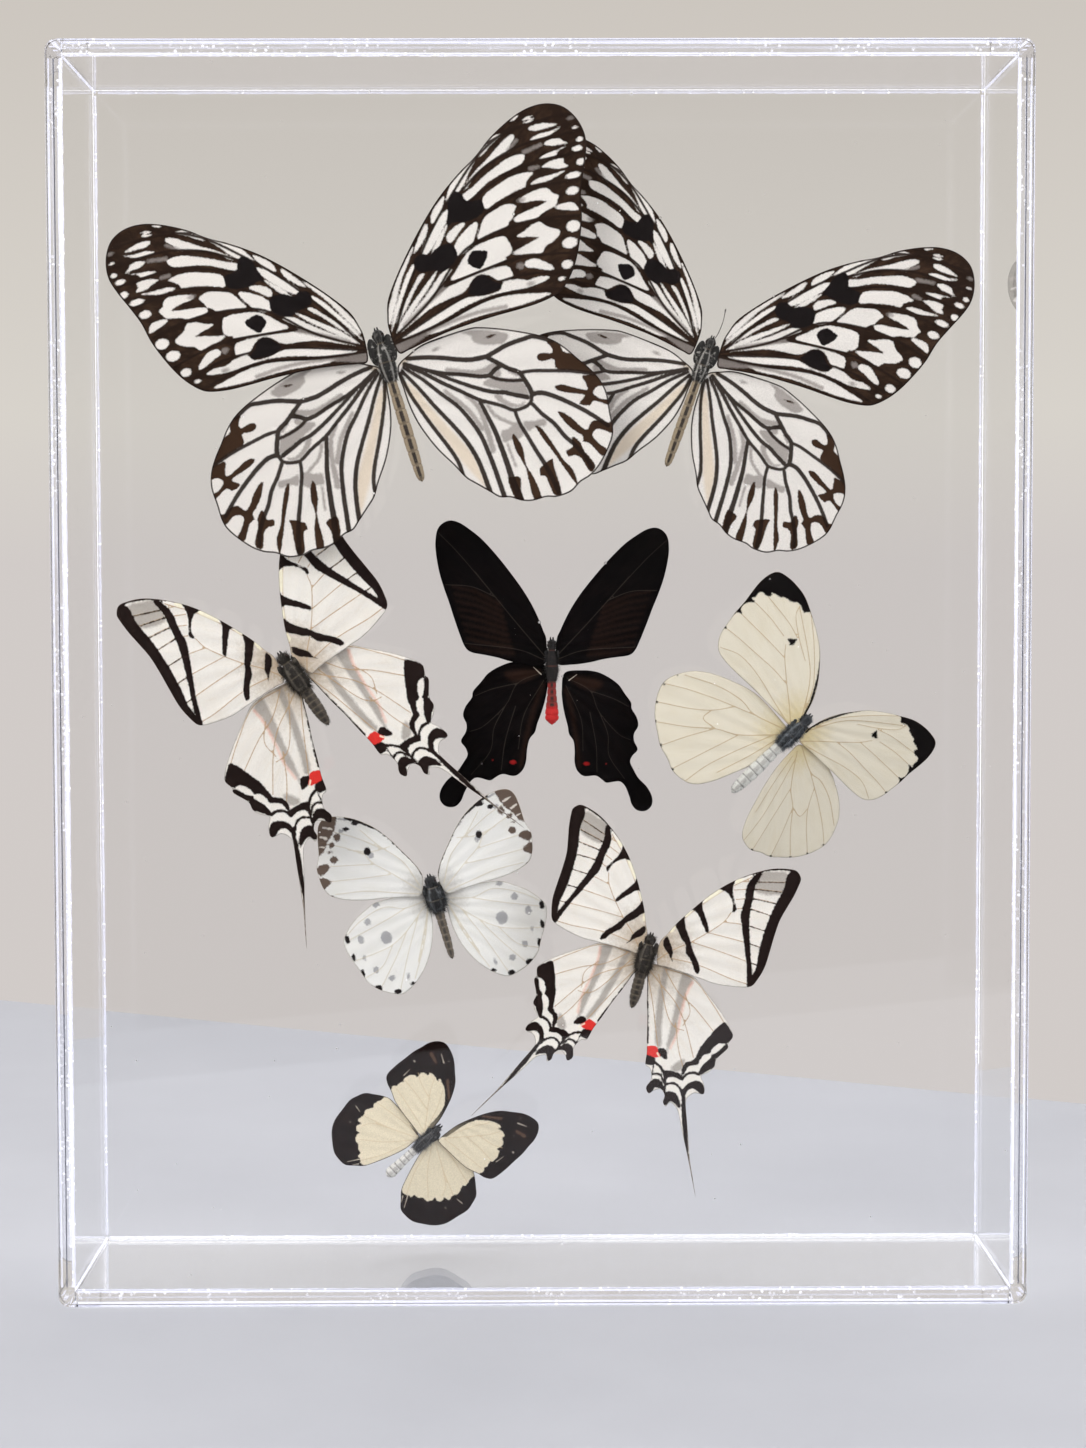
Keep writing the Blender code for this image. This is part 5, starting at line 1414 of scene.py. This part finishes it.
def finish_case():
    for name, node in nodes.items():
        if not name.endswith(("_panel", "_wall", "_post")):
            continue
        for slot in node.material_slots:
            slot.material = ACRYLIC.material
        node.visible_shadow = False
        if name.endswith("_post"):
            continue
        weld = node.modifiers.new("joined corners", "WELD")
        weld.merge_threshold = 1e-5
        edge = node.modifiers.new("eased edges", "BEVEL")
        edge.width = (PANEL_EASE if name.endswith("_panel") else WALL_EASE) * MM
        edge.segments = 3
        edge.limit_method = "ANGLE"
        edge.angle_limit = math.radians(40)
        edge.harden_normals = True


def wavy_prism(start, end, section, chance):
    """A bar along one axis whose outline wanders a little: corners, faces, places along and across.

    The section is a loop of (anchor, reach) about the start, anticlockwise seen from the end; only
    the reach wanders."""
    start, end = np.array(start, float), np.array(end, float)
    length = np.linalg.norm(end - start)
    steps = max(8, round(length / SEAM_STEP))
    corners, run = [], []
    for i in range(steps + 1):
        for anchor, reach in section:
            offset = anchor + reach * (1 + chance.uniform(-0.25, 0.25))
            corners.append(start + (end - start) * i / steps + offset)
            run.append((length * i / steps * 0.05, float(np.linalg.norm(offset)), 0.0))
    count = len(section)
    faces = [tuple(range(count)), tuple(steps * count + j for j in reversed(range(count)))]
    for i in range(steps):
        for j in range(count):
            k = (j + 1) % count
            faces.append((count * i + k, count * i + j, count * i + count + j, count * i + count + k))
    return np.array(corners), faces, np.array(run)


def build_seam(name, start, end, film, corner, legs):
    """One cemented joint: a film between the sheets and a bead along its inside corner.

    The film is a box section (low and high offsets from the start) and the bead a triangle."""
    chance = random.Random(name)
    low, high = np.array(film[0]), np.array(film[1])
    axis = int(np.argmax(np.abs(np.subtract(end, start))))
    one, two = [i for i in range(3) if i != axis]
    loop = []
    for a, b in ((0, 0), (1, 0), (1, 1), (0, 1)):
        offset = np.zeros(3)
        offset[one], offset[two] = (low, high)[a][one], (low, high)[b][two]
        loop.append((offset, np.zeros(3)))
    triangle = [(np.array(corner, float), np.array(leg, float)) for leg in ((0, 0, 0), *legs)]
    corners, faces, run, bead = np.zeros((0, 3)), [], np.zeros((0, 3)), []
    for section, is_bead in ((loop, 0.0), (triangle, 1.0)):
        offsets = [anchor + reach for anchor, reach in section]
        area = np.cross(offsets[1] - offsets[0], offsets[2] - offsets[0])
        if area @ np.subtract(end, start) < 0:
            section = section[::-1]
        more, loops, places = wavy_prism(start, end, section, chance)
        faces += [tuple(len(corners) + i for i in face) for face in loops]
        corners = np.vstack([corners, more])
        run = np.vstack([run, places])
        bead += [is_bead] * len(more)
    piece = mesh_piece(name, corners * MM, faces, smooth=False)
    give_field(piece, "run", run)
    give_field(piece, "bead", bead)
    outward = np.maximum(np.abs(corners[:, 0]) - CASE_WIDTH / 2,
                         np.abs(corners[:, 2] - CASE_HEIGHT / 2) - CASE_HEIGHT / 2)
    give_field(piece, "across", np.clip(1 + outward / SHEET, 0, 1))
    # Painted shade: how dark the line down the middle of each seam is painted, strongest on the two front
    # upright seams.
    painted_shade = 1.0 if name in ("front_left_seam", "front_right_seam") else 0.3
    give_field(piece, "dark", np.full(len(corners), painted_shade))
    piece.data.materials.append(CEMENT.material)
    piece.visible_shadow = False


def build_seams():
    half, depth = CASE_WIDTH / 2, CASE_DEPTH / 2
    inner, skin, leg = half - SHEET, FILM_SKIN, BEAD_LEG
    near = depth - SHEET
    for end, floor_z, ceiling_z in (("top", CASE_HEIGHT - SHEET, CASE_HEIGHT), ("bottom", 0.0, SHEET)):
        face_z, into = (floor_z, -leg) if end == "top" else (ceiling_z, leg)
        for side, sign in (("left", -1), ("right", 1)):
            join = sorted((sign * (inner - skin), sign * (inner - JOINT_GAP + skin)))
            build_seam(f"{end}_{side}_seam", (0, -near + 0.4, 0), (0, near - 0.4, 0),
                       ((join[0], 0, floor_z + 0.15), (join[1], 0, ceiling_z - 0.15)),
                       (sign * (inner - 0.02), 0, face_z), ((-sign * leg, 0, 0), (0, 0, into)))
        for face, way in (("front", -1), ("back", 1)):
            layer = sorted((way * (near - skin), way * (near - JOINT_GAP + skin)))
            build_seam(f"{face}_{end}_seam", (-inner + 0.7, 0, 0), (inner - 0.7, 0, 0),
                       ((0, layer[0], floor_z + 0.15), (0, layer[1], ceiling_z - 0.15)),
                       (0, way * (near - 0.02), face_z), ((0, -way * leg, 0), (0, 0, into)))
    for side, sign in (("left", -1), ("right", 1)):
        span = sorted((sign * (half - 0.3), sign * inner))
        for face, way in (("front", -1), ("back", 1)):
            layer = sorted((way * (near - skin), way * (near - JOINT_GAP + skin)))
            build_seam(f"{face}_{side}_seam", (0, 0, 3.9), (0, 0, CASE_HEIGHT - 3.9),
                       ((span[0], layer[0], 0), (span[1], layer[1], 0)),
                       (sign * inner, way * (near - 0.02), 0), ((-sign * leg, 0, 0), (0, -way * leg, 0)))


def build_table():
    """A plain pale table top; its far edge runs behind the case at a slant."""
    far_left, far_right = Vector(TABLE_FAR_LEFT), Vector(TABLE_FAR_RIGHT)
    along = (far_right - far_left).normalized()
    forward = Vector((along.y, -along.x, 0))
    middle = (far_left + far_right) / 2
    back = [middle - along * TABLE_HALF_LENGTH, middle + along * TABLE_HALF_LENGTH]
    corners = back + [corner + forward * TABLE_REACH for corner in reversed(back)]
    top = [tuple(corner * MM - Vector((0, 0, TABLE_DROP * MM))) for corner in corners]
    under = [(x, y, z - TABLE_THICKNESS * MM) for x, y, z in top]
    faces = [(0, 1, 2, 3), (7, 6, 5, 4)] + [(i, i + 4, (i + 1) % 4 + 4, (i + 1) % 4) for i in range(4)]
    mesh = bpy.data.meshes.new("table")
    mesh.from_pydata(top + under, [], faces)
    table = bpy.data.objects.new("table", mesh)
    bpy.context.scene.collection.objects.link(table)
    finish = Finish("pale table top", Specular_IOR_Level=0.2)
    where = finish.node("ShaderNodeTexCoord", None, None, 3)
    cloud = finish.noise(where, 14.0, 5.0)
    finish.set("Base Color", finish.mix(cloud, (0.43, 0.44, 0.48), (0.52, 0.53, 0.57)))
    finish.set("Roughness", 0.5 + cloud * 0.1)
    mesh.materials.append(finish.material)


def build_room():
    """A soft room: warm grey walls, brighter overhead, and dim behind the camera."""
    world = bpy.data.worlds.new("soft room")
    bpy.context.scene.world = world
    world.use_nodes = True
    tree = world.node_tree

    def add(kind, **links):
        node = tree.nodes.new(kind)
        for name, value in links.items():
            tree.links.new(value, node.inputs[int(name[1:])])
        return node

    where = add("ShaderNodeTexCoord")
    split = add("ShaderNodeSeparateXYZ", _0=where.outputs["Generated"])
    ramp = add("ShaderNodeValToRGB", _0=split.outputs["Z"])
    stops = [(0.0, (0.64, 0.60, 0.58)), (0.05, (0.685, 0.65, 0.60)), (0.2, (0.60, 0.56, 0.515)),
             (1.0, (0.9, 0.9, 0.92))]
    for element, (position, colour) in zip(ramp.color_ramp.elements, (stops[0], stops[-1])):
        element.position = position
        element.color = (*colour, 1)
    for position, colour in stops[1:-1]:
        ramp.color_ramp.elements.new(position).color = (*colour, 1)
    dim = add("ShaderNodeMapRange", _0=split.outputs["Y"])
    for name, value in (("From Min", -0.93), ("From Max", -0.45), ("To Min", 0.02), ("To Max", 1.0)):
        dim.inputs[name].default_value = value
    tree.links.new(ramp.outputs[0], tree.nodes["Background"].inputs["Color"])
    tree.links.new(dim.outputs[0], tree.nodes["Background"].inputs["Strength"])


def add_lamp(name, place, target, size, power, colour):
    lamp = bpy.data.lights.new(name, "AREA")
    lamp.shape = "RECTANGLE"
    lamp.size, lamp.size_y = size
    lamp.energy = power
    lamp.color = colour
    holder = bpy.data.objects.new(name, lamp)
    holder.location = place
    way = Vector(target) - Vector(place)
    holder.rotation_euler = way.to_track_quat("-Z", "Y").to_euler()
    bpy.context.scene.collection.objects.link(holder)


def place_camera():
    pitch, yaw, roll = (math.radians(angle) for angle in CAMERA_ANGLES)
    ahead = Vector((math.sin(yaw) * math.cos(pitch), math.cos(yaw) * math.cos(pitch), -math.sin(pitch)))
    level = Vector((math.cos(yaw), -math.sin(yaw), 0))
    upright = level.cross(ahead)
    right = math.cos(roll) * level + math.sin(roll) * upright
    up = math.cos(roll) * upright - math.sin(roll) * level
    lens = bpy.data.cameras.new("camera")
    lens.sensor_width = lens.sensor_height = CAMERA_FILM
    lens.lens = CAMERA_LENS
    lens.clip_start = 0.01
    camera = bpy.data.objects.new("camera", lens)
    aim = Matrix((right, up, -ahead)).transposed().to_4x4()
    camera.matrix_world = Matrix.Translation(CAMERA_PLACE) @ aim
    bpy.context.scene.collection.objects.link(camera)
    bpy.context.scene.camera = camera


DRAWINGS = {key: draw_wing(*key) for key in MARKINGS}
WING_FINISHES = {kind: make_wing_finish(kind) for kind in WING_LOOKS}
BODY_FINISHES = {kind: make_body_finish(kind) for kind in BODY_LOOKS}
HAIR_FINISHES = {kind: make_hair_finish(kind) for kind in HAIR}
ACRYLIC = make_acrylic()
CEMENT = make_cement()

for seed, (name, kind, centre, heading, size, wings) in enumerate(BUTTERFLIES, 1):
    frame_matrix = body_frame(centre, heading)
    for wing, pose in wings.items():
        side = -1 if wing.startswith("left") else 1
        which = "fore" if wing.endswith("forewing") else "hind"
        build_wing(f"{name}_{wing}", kind, which, side, pose, frame_matrix, seed + side * 0.2)
    build_body(name, kind, size, frame_matrix, seed)
    build_hair(name, kind, size, frame_matrix, seed)
    if name == "far_kite":
        build_antenna(name + "_antenna", kind, frame_matrix,
                      [(0.4, 7.6, 0.5), (0.9, 9.6, 1.0), (1.0, 12.5, 1.4), (0.6, 15.4, 1.6)], 0.09)

finish_case()
build_seams()
build_table()
build_room()
add_lamp("window", (-0.9, -0.75, 0.75), (0, 0, 0.13), (0.9, 1.1), 9.4, (1.0, 0.98, 0.96))
add_lamp("fill", (0.8, -0.9, 0.5), (0, 0, 0.13), (0.7, 0.9), 5.4, (0.97, 0.98, 1.0))
add_lamp("overhead", (0.1, 0.25, 0.95), (0, 0, 0.1), (0.9, 0.5), 3.0, (1.0, 0.99, 0.97))
for sign in (-1, 1):
    add_lamp("edge light", (sign * 0.75, 0.35, 0.3), (0, 0, 0.14), (0.12, 0.8), 0.9, (0.88, 0.9, 1.0))
place_camera()
bpy.context.scene.view_settings.view_transform = "Standard"
